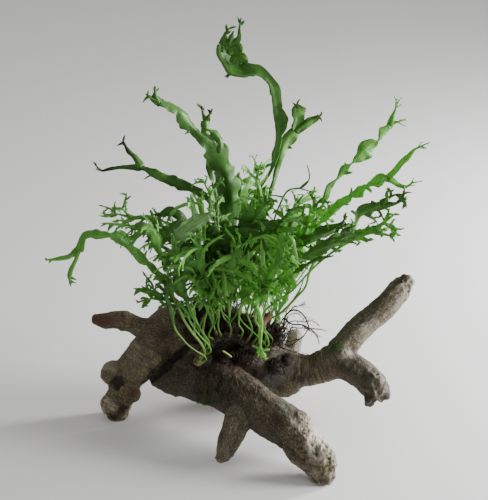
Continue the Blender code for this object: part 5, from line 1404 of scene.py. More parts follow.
# %% Side shoots, strips and crests
def margin_shoots(heap, chance, blade, gap, size, tone, burnt, lacy, low):
    """Side shoots that leave both margins of a blade, leaning forward."""
    total = blade.way[-1]
    spots = np.arange(gap, total - 1, gap)
    if not len(spots):
        return
    spots = np.repeat(spots, 2) + chance.uniform(-0.45, 0.45, 2 * len(spots)) * gap
    edge = np.tile((1.0, -1.0), len(spots) // 2)
    at = np.searchsorted(blade.way, spots).clip(1, len(blade.way) - 2)
    wanted = (blade.leafy[at] > 0.35) | (lacy & (blade.reach[at] > 0.5))
    wanted &= chance.random(len(at)) < (0.9 if lacy else 0.6)
    at, edge = at[wanted], edge[wanted]
    if not len(at):
        return
    margin = np.where(edge[:, None] > 0, blade.right[at], blade.left[at])
    start = margin * 0.7 + blade.path[at] * 0.3
    along = unit(blade.path[at + 1] - blade.path[at - 1])
    lean = np.radians(chance.uniform(22, 62, len(at)))[:, None]
    way = (np.cos(lean) * along + np.sin(lean) * edge[:, None] * blade.side[at]
        + chance.uniform(-0.5, 0.5, (len(at), 1)) * blade.flat[at])
    length = size * chance.uniform(0.4, 1.4, len(at))
    width = chance.uniform(1.6, 2.9, len(at)) * (1.0 if lacy else 0.85)
    brown = burnt * eased(blade.reach[at], 0.7, 0.95) * chance.uniform(0.3, 1, len(at))
    tip = start + unit(way) * length[:, None] * MM
    kept = ((over_edge(tip) > 0) | low) & inside_box(tip)
    forked_shoots(heap, chance, start[kept], way[kept], blade.flat[at][kept], length[kept], width[kept],
        (2,) if lacy else (1,), np.full(kept.sum(), tone), brown[kept], HOOKED)


def strips(heap, chance, start, way, flat, length, tone):
    """Narrow drooping leaves with a few pointed lobes, which lean out of the crown."""
    way = unit(unit(way) + 0.6 * unit((start - CROWN_MIDDLE) * (1, 1, 0.3)) + (0.12, 0, -0.2))
    tip = start + (way - (0, 0, 0.35)) * length[:, None] * MM
    kept = (over_edge(tip) > 0) & inside_box(tip)
    start, way, flat, length, count = start[kept], way[kept], flat[kept], length[kept], kept.sum()
    forked_shoots(heap, chance, start, way, flat, length, chance.uniform(2.2, 4.2, count), (2,),
        tone + chance.uniform(-0.25, 0.9, count), np.zeros(count), STRIP)


LEAF_STEM = 0.42         # half a small leaf's stem, in millimetres
FROM_RHIZOME = 0.12      # the share of small leaves that start at the rhizome


def small_leaves(heap, chance, curve, count, widest, tone):
    """Small leaves beside the frond: its line + s^p drift - s^3 droop, a thin stem, then a blade."""
    if count < 1:
        return
    rings = 22
    end = chance.uniform(0.42, 0.95, count)
    begin = chance.uniform(0.18, 0.42, count).clip(None, end - 0.24)
    begin = np.where(chance.random(count) < FROM_RHIZOME, 0, begin)
    at = (begin[:, None] + (end - begin)[:, None] * np.linspace(0, 1, rings)) * (len(curve) - 1)
    line = np.stack([np.interp(at, np.arange(len(curve)), curve[:, axis]) for axis in range(3)], axis=-1)
    s = np.linspace(0, 1, rings)[None, :, None]
    drift = chance.normal(0, 1, (count, 1, 3)).clip(-1.7, 1.7) * (7.0, 4.0, 4.0)
    droop = chance.random((count, 1, 1)) ** 2 * np.array((0, 9.0, 0))
    beside = chance.uniform(-3.0, 3.0, (count, 1, 1)) * np.array((1, 0, 0.6)) * eased(s, 0, 0.4)
    line = line + beside + s ** chance.uniform(0.8, 1.6, (count, 1, 1)) * drift - s ** 3 * droop
    line = place(line.reshape(-1, 3)).reshape(count, rings, 3)
    facing = unit(np.cross(line - EYE, np.gradient(line, axis=1)))
    side = unit(facing + chance.uniform(-0.7, 0.7, (count, 1, 3)))
    begins = chance.uniform(0.42, 0.6, (count, 1))
    blade = (eased(s[..., 0], begins, begins + 0.14) * eased(s[..., 0], 1.02, 0.86)
        * eased(over_edge(line), -1.0, 7.0))
    wide = chance.uniform(0.55, 1.0, (count, 1)) * widest / 2
    wide = wide * (1 + 0.35 * wander(line, 5 * MM, 35))
    half = (LEAF_STEM + (wide - LEAF_STEM) * blade) * MM
    paint = np.zeros((count, rings, 4))
    paint[..., 1] = 0.8 * s[..., 0]
    pale_stem = chance.random((count, 1)) ** 2
    paint[..., 2] = -pale_stem * (1 - blade) * eased(s[..., 0], 0.8, 0.5)
    paint[..., 3] = tone + chance.uniform(-0.15, 0.7, (count, 1))
    lens_shells(heap, line, side, half, np.minimum(half, 0.30 * MM), paint, 6, 0.3)
    ends = np.repeat(np.arange(count), 4)
    heading = unit(line[ends, -1] - line[ends, -3])
    where = chance.integers(rings // 2, rings, len(ends))
    lean = np.radians(chance.uniform(-75, 75, len(ends)))[:, None]
    flat = unit(np.cross(heading, side[ends, -1]) + chance.uniform(-0.6, 0.6, (len(ends), 3)))
    way = np.cos(lean) * heading + np.sin(lean) * side[ends, -1] + chance.uniform(-0.4, 0.4, (len(ends), 3))
    strips(heap, chance, line[ends, where], way, flat, chance.uniform(8, 19, len(ends)), tone)


def sprays(heap, chance, blade, count, tone):
    """Strips that branch from the upper part of a frond, turned all ways."""
    if not count:
        return
    at = np.searchsorted(blade.reach, chance.uniform(0.42, 0.97, count)).clip(1, len(blade.way) - 2)
    along = unit(blade.path[at + 1] - blade.path[at - 1])
    edge = np.where(np.arange(count) % 2, 1.0, -1.0)[:, None]
    lean = np.radians(chance.uniform(20, 75, count))[:, None]
    way = (np.cos(lean) * along + np.sin(lean) * edge * blade.side[at]
        + chance.uniform(-0.8, 0.8, (count, 1)) * blade.flat[at])
    flat = unit(blade.flat[at] + chance.uniform(-0.6, 0.6, (count, 3)))
    strips(heap, chance, blade.path[at], way, flat, chance.uniform(12, 25, count), tone)


def crest(heap, chance, blade, own, size, tone, burnt):
    """Prongs at an arm's end: long spikes, hooks on broad fronds, or forks."""
    spiky = "spiky" in own
    forks = (1,) if spiky else () if own.get("habit") == "broad" else (2,)
    count, spread_most = (5, 34) if spiky else (3, 40)
    along = unit(blade.path[-1] - blade.path[-3])
    lean = np.radians(np.linspace(-spread_most, spread_most, count) + chance.uniform(-12, 12, count))[:, None]
    way = (np.cos(lean) * along + np.sin(lean) * blade.side[-1]
        + chance.uniform(-0.4, 0.4, (count, 1)) * blade.flat[-1])
    start = blade.path[chance.integers(-6, -1, count).clip(-len(blade.path), None)]
    length = size * (chance.uniform(0.8, 1.7, count) if spiky else chance.uniform(0.6, 1.1, count))
    length = np.where(inside_box(start + unit(way) * length[:, None] * MM), length, 0.35 * length)
    width = chance.uniform(0.7, 1.1, count) if spiky else chance.uniform(1.2, 2.1, count)
    forked_shoots(heap, chance, start, way, np.repeat(blade.flat[-1:], count, axis=0), length, width, forks,
        np.full(count, tone + 0.2), np.full(count, float(burnt)), SPIKY if spiky else HOOKED)


# %% [markdown]
# ## Leaf finishes
# A wet leaf is glossy, lets light through, and is never one green. The midrib is paler, the blade is
# mottled, and burnt tips are brown. One shared group works out colour, roughness and normal; each
# finish gives it two greens and adds its own see-through share.

# %% The leaf group
RIB_PALE = (0.16, 0.36, 0.07)
STEM_PALE = (0.165, 0.255, 0.050)
TIP_BROWN = (0.030, 0.014, 0.010)
LEAF_BUMP = 0.00022


def leaf_group():
    """Mottled, streaked greens with a paler rib and stem, brown ends, fine cells in the gloss."""
    tree, takes, gives = new_group("leaf", {"Deep": "Color", "Fresh": "Color"},
        {"Colour": "Color", "Roughness": "Float", "Normal": "Vector"})
    across, reach, brown, tone = painted()
    here = object_place()
    mottle = noise(here, 140.0, 3.0)
    cells = noise(here, 750.0, 2.0, 0.7)
    fresh_part = sums("ADD", spread(mottle, 0.35, 0.65, -0.35, 0.35), tone)
    fresh_part = sums("ADD", fresh_part, spread(reach, 0.1, 1.0, -0.12, 0.12))
    spot = node("CombineXYZ",
        {"X": sums("MULTIPLY", across, 5.0), "Y": tone, "Z": sums("MULTIPLY", reach, 4.0)}).outputs[0]
    streaks = noise(spot, 2.2, 3.0, 0.6)
    colour = layered(takes["Deep"], (fresh_part, 0, 1, 1, takes["Fresh"]),
        (cells, 0.45, 0.7, 0.3, takes["Fresh"]), (streaks, 0.56, 0.40, 0.8, takes["Deep"]),
        (across, 0.12, 0.02, 0.5, RIB_PALE), (brown, -0.2, -0.9, 0.7, STEM_PALE),
        (brown, 0.25, 0.75, 1, TIP_BROWN))
    height = sums("ADD", cells, sums("MULTIPLY", mottle, 1.5))
    fill(gives, {"Colour": colour, "Roughness": spread(cells, 0.3, 0.7, 0.32, 0.52),
        "Normal": bumped(height, 0.7, LEAF_BUMP)})
    return tree


LEAF = leaf_group()


def leaf_finish(name, deep, fresh, through, see_through):
    """A glossy leaf, mixed with light that comes through it from behind."""
    finish, surface = node_sheet(name)
    nodes = finish.node_tree.nodes
    shade = node("Group", {"Deep": (*deep, 1), "Fresh": (*fresh, 1)}, node_tree=LEAF).outputs
    fill(surface, {"Base Color": shade["Colour"], "Roughness": shade["Roughness"], "Normal": shade["Normal"],
        "Specular IOR Level": 0.2})
    glow = node("BsdfTranslucent", {"Color": mixed(0.5, shade["Colour"], through)})
    both = node("MixShader", {0: see_through, 1: nodes["Principled BSDF"].outputs[0], 2: glow.outputs[0]})
    fill(nodes["Material Output"].inputs, {"Surface": both.outputs[0]})
    return finish


# The milky greens are a pale leaf with the sheen of its gloss painted into the colour.
GREENS = {"dark": ((0.038, 0.110, 0.020), (0.084, 0.222, 0.034), (0.12, 0.32, 0.03), 0.24),
    "green": ((0.056, 0.158, 0.034), (0.185, 0.480, 0.085), (0.28, 0.64, 0.09), 0.38),
    "light": ((0.078, 0.235, 0.034), (0.270, 0.590, 0.125), (0.32, 0.70, 0.10), 0.30),
    "milky": ((0.080, 0.230, 0.050), (0.320, 0.560, 0.230), (0.30, 0.58, 0.14), 0.25)}
leaf_finishes = {green: leaf_finish("leaf_" + green, *shades) for green, shades in GREENS.items()}


# %% The fronds
def lobe_curves(name):
    """The lobes' curves, each a little nearer to the eye than the blade beside its start."""
    main = frond_lines[name][0]
    curves = []
    for rows in [rows for key, rows in LOBES.items() if key.startswith(name + " ")]:
        beside = main[np.hypot(main[:, 0] - rows[0][0], main[:, 1] - rows[0][1]).argmin(), 2]
        curves.append(smooth_rows([(x, y, beside - 0.9 * at, w) for at, (x, y, w) in enumerate(rows)],
            CURVE_STEP))
    return curves


def frond(number, own):
    """One frond: its blade, lobes and arms, and the shoots on them, in place of its solid."""
    name, habit = own["name"], own.get("habit", "lacy")
    gap, size, spray_count, leaf_count, crest_size = HABITS[habit][3:]
    chance = np.random.default_rng(100 + number)
    tone, burnt = own.get("tone", chance.uniform(0.2, 0.7)), own.get("burnt", 0.0)
    facing = own.get("facing", chance.choice((-1, 1)) * chance.uniform(10, 30))
    phase = chance.uniform(0, FULL_TURN)

    def turn(t, rows):
        wobble = TURNING[habit] * np.sin(rows[:, 1] / 9 + rows[:, 0] / 12 + phase) * eased(rows[:, 3], 2.4, 5)
        return np.radians(facing + own["twist"] * t ** 2 + wobble)

    heap = new_heap()
    for part, curve in enumerate(frond_lines[name] + lobe_curves(name)):
        limits = (0, 0.85) if part == 0 else (0.85, 1.0)
        blade = blade_shell(heap, curve, habit, turn, 10 * number % 17 + part, limits, tone, burnt,
            WIDTHS.get(f"{name} {part}"), own.get(f"rib{part}", 0.0), own.get("fold", 1.0),
            1.0 if "pale_stem" in own else 0.4)
        if part > 2 or "clean" in own:
            continue
        margin_shoots(heap, chance, blade, gap, size, tone, burnt, habit == "lacy", "low" in own)
        if part == 0:
            sprays(heap, chance, blade, spray_count, tone)
            small_leaves(heap, chance, curve, leaf_count + int(own.get("leaves", 0)), own.get("widest", 5.5),
                tone)
        else:
            crest(heap, chance, blade, own, crest_size, tone, burnt)
    piece = new_piece(heap_mesh(name + "_leaf", heap, True), leaf_finishes[own.get("finish", own["green"])])
    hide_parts("frond_" + name)
    return triangles_in(piece)


frond_triangles = [frond(number, own) for number, own in enumerate(FRONDS)]
print("frond triangles: most", max(frond_triangles), "all", sum(frond_triangles))

# %% [markdown]
# ## Creeping rhizomes
# A rhizome is a fleshy rod that creeps over the wood and carries each frond on a small nub. A tube is
# enough, with its skin pushed in and out by two sizes of wandering height.

# %% Rhizome shells
RHIZOME_STEP = 0.40
RHIZOME_CORNERS = 30
NUB_ROWS = 7
NUB_WIDE = 1.3
BARE_END = (11.0, 5.0)   # the front rhizome is green up to here, and fades over this, in millimetres
NUB_NARROW = 0.62
# A stem that was cut off: rows of (across, up, back, radius), in millimetres.
CUT_STEM = courses("-14.5 -68.5 -72 0.6, -11.5 -70.5 -72 0.55, -8.5 -72.6 -71 0.5")[0]


def rounded_ends(path, radius):
    """The radius drawn in near both ends by a quarter circle: r sqrt(1 - (1 - d / r)^2)."""
    way = travel_of(path)
    near = np.minimum(way, way[-1] - way)
    return radius * np.sqrt(1 - (1 - (near / radius).clip(0.02, 1)) ** 2)


def rough_tube(heap, path, radius, corners, relief, paint):
    """A tube: path + (radius + relief(point)) (cos a side + sin a other); paint is one or per ring."""
    side, other = cross_frames(path)
    angle = np.arange(corners) * FULL_TURN / corners
    around = np.cos(angle)[:, None] * side[:, None] + np.sin(angle)[:, None] * other[:, None]
    rings = path[:, None] + radius[:, None, None] * around
    rings = rings + around * (relief(rings) * np.minimum(radius[:, None] / radius.max(), 1))[..., None]
    add_shells(heap, rings[None], path[None, [0, -1]], paint)


def rhizome_relief(points):
    return MM * (0.34 * wander(points, 2.3 * MM, 41) + 0.22 * wander(points, 0.9 * MM, 42))


def nub_path(own):
    """From inside the rhizome to the foot of a stem."""
    foot = place(np.array(base_rows(own, 1.0))[:, :3])
    inner = foot[0] - unit(foot[1] - foot[0]) * RHIZOME_RADIUS * 0.9 * MM
    return inner + np.linspace(0, 1, NUB_ROWS)[:, None] * (foot[1] - inner) * 0.8


def rhizome_shells(heap, name, number):
    """The creeping rod, and one nub for each of its fronds."""
    line = smooth_rows(rhizome_lines[name], RHIZOME_STEP * MM)
    step = np.linspace(0, len(rhizome_lines[name]) - 1, len(line))
    radius = RHIZOME_RADIUS * MM * (1 + 0.08 * np.sin(1.9 * step + number) + 0.05 * np.sin(5.3 * step))
    bare_part = eased(travel_of(line) / MM, BARE_END[0], BARE_END[0] - BARE_END[1]) * (name == "front")
    paint = np.zeros((len(line), 1, 4))
    paint[:, 0, 0], paint[:, 0, 1] = 0.2, bare_part
    rough_tube(heap, line, rounded_ends(line, radius), RHIZOME_CORNERS, rhizome_relief, paint)
    wide = np.linspace(NUB_WIDE, NUB_NARROW, NUB_ROWS) * MM
    for own in FRONDS:
        if own["rhizome"] == name:
            nub_bare = max(0.35, float(bare_part[int(own["part"] * (len(line) - 1))]))
            rough_tube(heap, nub_path(own), wide, 14, lambda spot: 0.3 * rhizome_relief(spot),
                (0.8, nub_bare, 0, 0))


rhizome_heaps = {name: new_heap() for name in RHIZOMES}
for number, (name, heap) in enumerate(rhizome_heaps.items()):
    rhizome_shells(heap, name, number)
stub_rows = smooth_rows(CUT_STEM, 0.4)
stub_path = place(stub_rows[:, :3])
rough_tube(rhizome_heaps["front"], stub_path, stub_rows[:, 3] * MM, 12,
    lambda spot: 0.2 * rhizome_relief(spot), (1.0, 1.0, 0, 0))
print("nubs", len(FRONDS), "on", len(RHIZOMES), "rhizomes")

# %% [markdown]
# ## The root felt
# Under the rhizomes lies a cushion of nearly black roots: round lumps melted together, and on them
# roots that are walks. All take a step at once, turn a little, and are drawn back to the skin.

# %% Lumps of the felt
# Plan (across, back) and radius in millimetres, and the clump's (across, up, back, radius).
MAT_LUMPS = courses("""
-38 -34 7, -32 -44 7, -30 -24 7, -22 -16 7, -24 -36 8, -20 -48 7, -12 -26 8, -10 -40 8, -4 -50 7, -4 -18 7,
0 -32 8, 6 -44 7, 10 -22 8, 14 -36 7, 20 -46 4.5, 21 -29 6, 28 -40 4, -14 -56 5, -26 -58 6, -26 -58 6.5""")[0]
MAT_CLUMP = courses("""
17 -65 -48 2.4, 21 -63 -48 2.4, 23 -59 -48 2.2, 22 -54 -48 2, 14 -67 -47 2.2""")[0]
LUMP_SPREAD = 0.8
FELT_VOXEL = 0.00085
FELT_SOFTNESS = 0.9      # over how many millimetres two lumps' skins blend

chance = np.random.default_rng(7)
lump_rows = [(*(dropped(wood_tree, x, y, 0.0) + chance.uniform(-1, 1, 3) * LUMP_SPREAD * MM), radius * MM)
    for x, y, radius in MAT_LUMPS]
lump_rows += [(*place([row[:3]])[0], row[3] * MM) for row in MAT_CLUMP]
lumps = np.array(lump_rows)
felt_blank = new_heap()
for lump in lumps:
    ball_shell(felt_blank, lump[:3], lump[3])
felt = new_piece(heap_mesh("root_felt", felt_blank))
melted(felt, FELT_VOXEL, 3)
felt_points, felt_normals = points_of(felt.data), points_of(felt.data, "normal")
felt_height = 0.55 * wander(felt_points, 2.6 * MM, 43) + 0.4 * wander(felt_points, 1.2 * MM, 44)
felt.data.vertices.foreach_set("co", (felt_points + felt_normals * felt_height[:, None] * MM).ravel())
felt.data.update()
remember(felt.data, "paint", "FLOAT_COLOR", np.tile((0.0, 0.0, 0.0, 0.12), (len(felt_points), 1)))
felt.data.shade_smooth()
print("felt: lumps", len(lumps), "triangles", triangles_in(felt))


# %% Roots that walk over the felt
def felt_gap(points, balls):
    """Distance outside the balls' skin, and the way out: balls weigh exp(-gap / softness)."""
    away = points[:, None] - balls[:, :3]
    far = np.linalg.norm(away, axis=2)
    gap = far - balls[:, 3]
    weight = np.exp(-(gap - gap.min(axis=1, keepdims=True)) / (FELT_SOFTNESS * MM))
    weight /= weight.sum(axis=1, keepdims=True)
    return (gap * weight).sum(axis=1), unit((away / far[..., None] * weight[..., None]).sum(axis=1))


def felt_walks(chance, start, heading, length, loft, rings, restless, balls):
    """Lines (n, rings, 3): equal steps that turn at random and are drawn to loft above the skin."""
    spots = [start]
    for step in range(1, rings):
        heading = unit(heading + chance.normal(0, restless, heading.shape))
        spot = spots[-1] + heading * (length / (rings - 1))[:, None]
        gap, outward = felt_gap(spot, balls)
        spot = spot + outward * ((loft * math.sin(math.pi * step / rings)) - gap)[:, None] * 0.75
        heading = unit(spot - spots[-1])
        spots.append(spot)
    return np.stack(spots, axis=1)


def root_shells(heap, chance, line, width, pale, red, corners=3):
    """Round shells round root lines, thinner towards both ends; pale and red are for each root."""
    count, rings = line.shape[:2]
    s = np.linspace(0, 1, rings)
    half = width[:, None] / 2 * MM * (0.35 + 0.65 * np.sin(math.pi * (0.12 + 0.80 * s)))
    paint = np.zeros((count, rings, 4))
    paint[..., 1], paint[..., 2], paint[..., 3] = s, red[:, None], pale[:, None]
    lens_shells(heap, line, unit(chance.normal(0, 1, (count, 1, 3))), half, half, paint, corners)


def starts_on(chance, balls, count, upward=-0.1):
    """Random points on the balls' skins that face upward and lie outside every other ball."""
    owner = chance.choice(len(balls), 6 * count, p=balls[:, 3] ** 2 / (balls[:, 3] ** 2).sum())
    way = unit(chance.normal(0, 1, (6 * count, 3)))
    spots = balls[owner, :3] + way * balls[owner, 3:]
    away = np.linalg.norm(spots[:, None] - balls[:, :3], axis=2) - balls[:, 3]
    outside = (away.min(axis=1) > -0.6 * MM) & (way[:, 2] > upward)
    return spots[outside][:count], way[outside][:count]


chance = np.random.default_rng(21)
rhizome_balls = np.array([(*spot, RHIZOME_RADIUS * MM) for line in rhizome_lines.values() for spot in line])
felt_balls = np.vstack([lumps, rhizome_balls])
root_heap = new_heap()
FELT_ROOTS = 2100
BARE_BALLS = 2           # the first spots of the front rhizome, which stay bare
start, outward = starts_on(chance, np.vstack([lumps, rhizome_balls[BARE_BALLS:]]), FELT_ROOTS)
heading = np.cross(outward, unit(chance.normal(0, 1, start.shape)))
count = len(start)
line = felt_walks(chance, start, unit(heading), chance.uniform(6, 15, count) * MM,
    chance.uniform(-0.2, 1.9, count) * MM, 9, 0.32, felt_balls)
root_shells(root_heap, chance, line, chance.uniform(0.22, 0.46, count), chance.random(count) ** 1.5,
    chance.random(count))

# Wild roots: they rise well off the clump and the mat's front edge.
WILD_ROOTS = 520
WILD_LUMPS = lumps[[4, 6, 8, 11, 14, -5, -4, -4, -3, -3, -3, -2, -2, -2]]
start, outward = starts_on(chance, WILD_LUMPS, WILD_ROOTS, -0.6)
count = len(start)
heading = unit(outward + (0, 0, 0.5) + 0.8 * unit(chance.normal(0, 1, start.shape)))
loft = np.where(chance.random(count) < 0.35, 9.0, 3.0) * chance.uniform(0.4, 1.0, count)
line = felt_walks(chance, start, heading, chance.uniform(7, 20, count) * MM, loft * MM, 10, 0.36, felt_balls)
root_shells(root_heap, chance, line, chance.uniform(0.35, 0.7, count), 0.6 * chance.random(count) ** 1.6,
    chance.uniform(0.2, 1, count), 4)
print("roots on the felt", FELT_ROOTS + count)

# %% [markdown]
# ## Loose loops and hairs
# To the right the longest roots leave the wood in stiff dark loops with fine rootlets. Others cling
# to the log in front: they start on a point of its skin, run along it, and bend with the log.

# %% Loose loops
WIRY_ROOTS = courses("""
26.5 -54 -48, 27.2 -49 -48.6, 27.6 -46 -49, 30 -43 -50, 33 -41 -50, 37 -41.5 -51, 41 -45 -52, 43.5 -50 -52,
43.5 -54 -51, 41 -58 -49, 37.5 -60.5 -48.2, 33.4 -61.6 -48, 28 -63 -48 /
27.6 -46.2 -49, 32 -50 -54, 40 -51 -56, 46 -54 -56, 50 -59 -55, 51 -64 -54 /
39.6 -51 -56, 44 -53 -58, 50 -54 -58, 54.5 -54.5 -58""")
# More of them, too fine for a solid.
FINE_LOOPS = courses("""
27 -56 -49, 31 -49 -52, 36 -48.5 -54, 41 -49.5 -55, 46 -48 -55, 51 -51 -55 /
28 -60 -48, 33 -53 -51, 38 -53 -53, 43 -53.5 -54, 48 -57 -54, 50 -60 -54 /
41 -58 -49, 35 -63 -47, 28 -66 -46 /
27 -46 -49, 24 -52 -48, 22 -62 -47 /
29 -44 -50, 33 -39.5 -50, 38 -38 -50, 42 -37 -50 /
24 -66 -50, 30 -68 -52, 36 -70 -54, 40 -71 -55 /
22 -58 -47, 27 -52 -48, 31 -44.5 -49, 36 -43 -50, 39 -45 -51""")
LOOP_STEP = 0.5


def loop_shell(heap, rows, thick, seed):
    """One loose root, thinner to its tip, that wavers a little about its smooth course."""
    path = place(smooth_rows(rows, LOOP_STEP))
    waver = np.stack([wander(path, 4 * MM, seed + axis) for axis in range(3)], axis=1)
    s = np.linspace(0, 1, len(path))
    path = path + waver * 0.5 * MM * np.sin(math.pi * s)[:, None]
    radius = thick / 2 * MM * (1 - 0.6 * s)
    rough_tube(heap, path, radius, 6, lambda spot: 0.07 * MM * wander(spot, 0.8 * MM, 45),
        (0, 0.5, 0.9, 0.25))
    return path


loop_heap = new_heap()
chance = np.random.default_rng(33)
loop_paths = [loop_shell(loop_heap, rows, 1.3, 50 + 3 * number) for number, rows in enumerate(WIRY_ROOTS)]
loop_paths += [loop_shell(loop_heap, rows, 0.9, 70 + 3 * number) for number, rows in enumerate(FINE_LOOPS)]
for path in loop_paths:
    at = chance.integers(2, len(path) - 2, 9)
    way = unit(chance.normal(0, 1, (len(at), 3)) + directions(path)[at] + (0, 0, -0.5))
    forked_shoots(loop_heap, chance, path[at], way, unit(chance.normal(0, 1, way.shape)),
        chance.uniform(2, 6, len(at)), chance.uniform(0.25, 0.4, len(at)), (2,), np.full(len(at), 0.2),
        np.ones(len(at)))
loops = new_piece(heap_mesh("loose_roots", loop_heap))
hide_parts("wiry_roots")
print("loose roots", len(loop_paths), "triangles", triangles_in(loops))

# %% Hairs that cling to the log
CLINGING = 520
CLING_LOW, CLING_HIGH = (-34, -96), (16, -70)      # corners of their region, (across, up)
CLING_BEND = 15.0                      # radius of the log that they bend round

chance = np.random.default_rng(44)
spot = on_sheet(skin_points)[:, :2]
near_felt = ((spot > CLING_LOW) & (spot < CLING_HIGH)).all(axis=1)
near_felt &= (skin_normals * unit(EYE - skin_points)).sum(axis=1) > 0.1
picked = chance.choice(np.nonzero(near_felt)[0], CLINGING)
outward = skin_normals[picked]
downhill = np.array((0.15, -0.5, -1.0)) + chance.normal(0, 0.45, (CLINGING, 3))
downhill = unit(square_to(downhill, outward))
length = chance.uniform(4, 15, CLINGING)
pull = (chance.uniform(-0.35, 0.35, (CLINGING, 1)) * np.cross(outward, downhill)
    - (length / (2 * CLING_BEND))[:, None] * outward)
line = shoot_lines(skin_points[picked] + outward * 0.1 * MM, downhill, pull, length * MM, 9)
line = line + outward[:, None] * MM * chance.uniform(0.1, 0.9, (CLINGING, 1, 1))
root_shells(root_heap, chance, line, chance.uniform(0.18, 0.34, CLINGING), chance.uniform(0.1, 1, CLINGING),
    chance.random(CLINGING))
roots = new_piece(heap_mesh("felt_roots", root_heap))
print("felt roots triangles", triangles_in(roots))

# %% [markdown]
# ## Finishes of rhizome and root
# The bare end of the rhizome is olive green and scaly, the rest as dark as its roots. Roots are
# nearly black or a warm or pale brown, and each carries its own shade in its paint.

# %% Rhizome and root finishes
RHIZOME_DARK = (0.035, 0.040, 0.010)
RHIZOME_GREEN = (0.115, 0.150, 0.030)
RHIZOME_LIGHT = (0.300, 0.330, 0.080)
SCALE_BROWN = (0.040, 0.022, 0.010)
ROOT_BLACK = (0.006, 0.004, 0.003)
ROOT_BROWN = (0.042, 0.026, 0.012)
ROOT_RED = (0.042, 0.017, 0.009)
ROOT_PALE = (0.200, 0.145, 0.085)
RHIZOME_BUMP = 0.0004


def rhizome_finish():
    """Olive green with yellow lights and brown scales where it is bare, else dark as its roots."""
    finish, surface = node_sheet("rhizome_skin")
    stemward, bare_part = painted()[:2]
    here = object_place()
    scales = strands(here, 0.0007, 0.0016)
    colour = layered(RHIZOME_DARK, (noise(here, 300.0, 3.0), 0.38, 0.62, 1, RHIZOME_GREEN),
        (scales, 0.55, 0.72, 1, RHIZOME_LIGHT), (scales, 0.45, 0.34, 0.85, SCALE_BROWN))
    colour = mixed(sums("MULTIPLY", stemward, 0.6), colour, RHIZOME_LIGHT)
    hidden = layered(ROOT_BLACK, (scales, 0.4, 0.65, 1, SCALE_BROWN))
    fill(surface, {"Base Color": mixed(bare_part, hidden, colour),
        "Roughness": spread(scales, 0.3, 0.7, 0.8, 0.5), "Normal": bumped(scales, 0.9, RHIZOME_BUMP)})
    return finish


def root_finish():
    """Black to brown, red or pale, as each root's own paint says."""
    finish, surface = node_sheet("root_fibre")
    red, pale_part = painted()[2:]
    drift = noise(object_place(), 500.0, 2.0)
    fill(surface, {"Base Color": layered(ROOT_BLACK, (pale_part, 0.0, 0.6, 1, ROOT_BROWN),
        (red, 0.5, 1.0, 0.8, ROOT_RED), (pale_part, 0.65, 1.0, 0.9, ROOT_PALE),
        (drift, 0.55, 0.35, 0.7, ROOT_BLACK)), "Roughness": spread(drift, 0.3, 0.7, 0.50, 0.75),
        "Specular IOR Level": 0.25, "Normal": bumped(drift, 0.6, RHIZOME_BUMP)})
    return finish


rhizome_skin, root_skin = rhizome_finish(), root_finish()
for name, heap in rhizome_heaps.items():
    rod = new_piece(heap_mesh("creeping_rhizome_" + name, heap), rhizome_skin)
    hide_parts("rhizome_" + name)
for piece in (felt, roots, loops):
    piece.data.materials.clear()
    piece.data.materials.append(root_skin)
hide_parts("root_mat")

# %% [markdown]
# ## Withered leaves
# A small reddish dead leaf lies between the stems, and a crumb of an orange one hangs at the left.
# They are blades like the others, so the same function makes them.

# %% Withered leaves
WITHERED = courses("""
11.5 -53 -64 3, 14 -48 -64 5, 16.5 -44 -63 4, 18 -41.5 -62 1.5 /
-26.6 -23.5 -76 1.6, -25.2 -22.4 -76 3.2, -23.6 -21 -76 1.4""")
WITHERED_RED, WITHERED_ORANGE = (0.060, 0.018, 0.010), (0.230, 0.085, 0.020)


def withered_finish():
    """Dull red to orange, as the paint's tone says, with blotches."""
    finish, surface = node_sheet("withered")
    drift = noise(object_place(), 260.0, 3.0)
    shade = sums("ADD", painted()[3], spread(drift, 0.35, 0.65, -0.3, 0.3))
    fill(surface, {"Base Color": layered(WITHERED_RED, (shade, 0, 1, 1, WITHERED_ORANGE)),
        "Roughness": spread(drift, 0.3, 0.7, 0.4, 0.7)})
    return finish


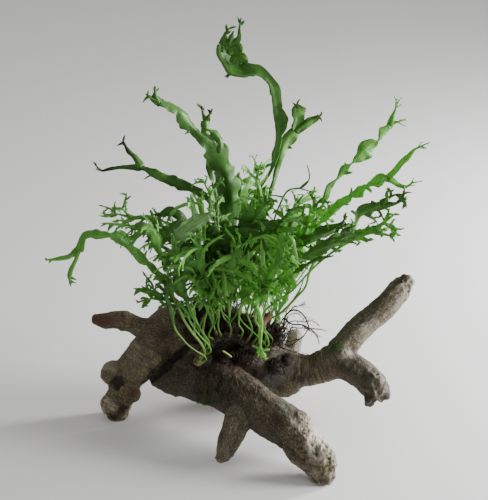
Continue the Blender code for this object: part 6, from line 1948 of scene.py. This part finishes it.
withered_heap = new_heap()
for number, rows in enumerate(WITHERED):
    blade_shell(withered_heap, smooth_rows(rows, 1.0), "smooth", lambda t, rows: 0.5 * np.sin(4 * t),
        3 + number, (0.5, 1.0), 0.15 + 0.7 * number, 0.0)
withered = new_piece(heap_mesh("withered_leaves", withered_heap), withered_finish())
print("withered leaves", len(WITHERED))

# %% [markdown]
# ## Moss
# A few cushions of bright moss sit in the fork and below the felt: crowds of tiny pointed leaves
# that stand on the skin.

# %% Moss
MOSS_LEAVES = 700
MOSS_DARK, MOSS_BRIGHT = (0.012, 0.035, 0.008), (0.10, 0.20, 0.025)
chance = np.random.default_rng(55)
mossy = np.nonzero(green > 0.45)[0]
picked = chance.choice(mossy, MOSS_LEAVES)
outward = skin_normals[picked]
way = unit(outward + 0.7 * chance.normal(0, 1, outward.shape))
pull = 0.3 * chance.normal(0, 1, outward.shape)
line = shoot_lines(skin_points[picked], way, pull, chance.uniform(0.4, 1.2, MOSS_LEAVES) * MM, 4)
moss_heap = new_heap()
half = chance.uniform(0.08, 0.2, MOSS_LEAVES)[:, None] * np.array((0.8, 1.0, 0.7, 0.15)) * MM
paint = np.zeros((MOSS_LEAVES, 4, 4))
paint[..., 3] = chance.uniform(0.1, 1, MOSS_LEAVES)[:, None]
paint[..., 1] = np.linspace(0, 1, 4)
lens_shells(moss_heap, line, unit(np.cross(way, outward))[:, None], half, half * 0.5, paint)


def moss_finish():
    """Dark to bright green, leaf by leaf."""
    finish, surface = node_sheet("moss")
    drift = noise(object_place(), 220.0, 2.0)
    shade = sums("ADD", spread(drift, 0.3, 0.7, -0.4, 0.4), painted()[3])
    fill(surface, {"Base Color": layered(MOSS_DARK, (shade, 0.1, 1.0, 1, MOSS_BRIGHT)), "Roughness": 0.8})
    return finish


moss = new_piece(heap_mesh("moss", moss_heap), moss_finish())
print("moss triangles", triangles_in(moss))

# %% The end
all_triangles = sum(triangles_in(piece) for piece in bpy.data.objects
    if piece.type == "MESH" and piece.name not in frame["nodes"])
print("triangles in all", all_triangles)
low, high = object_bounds()
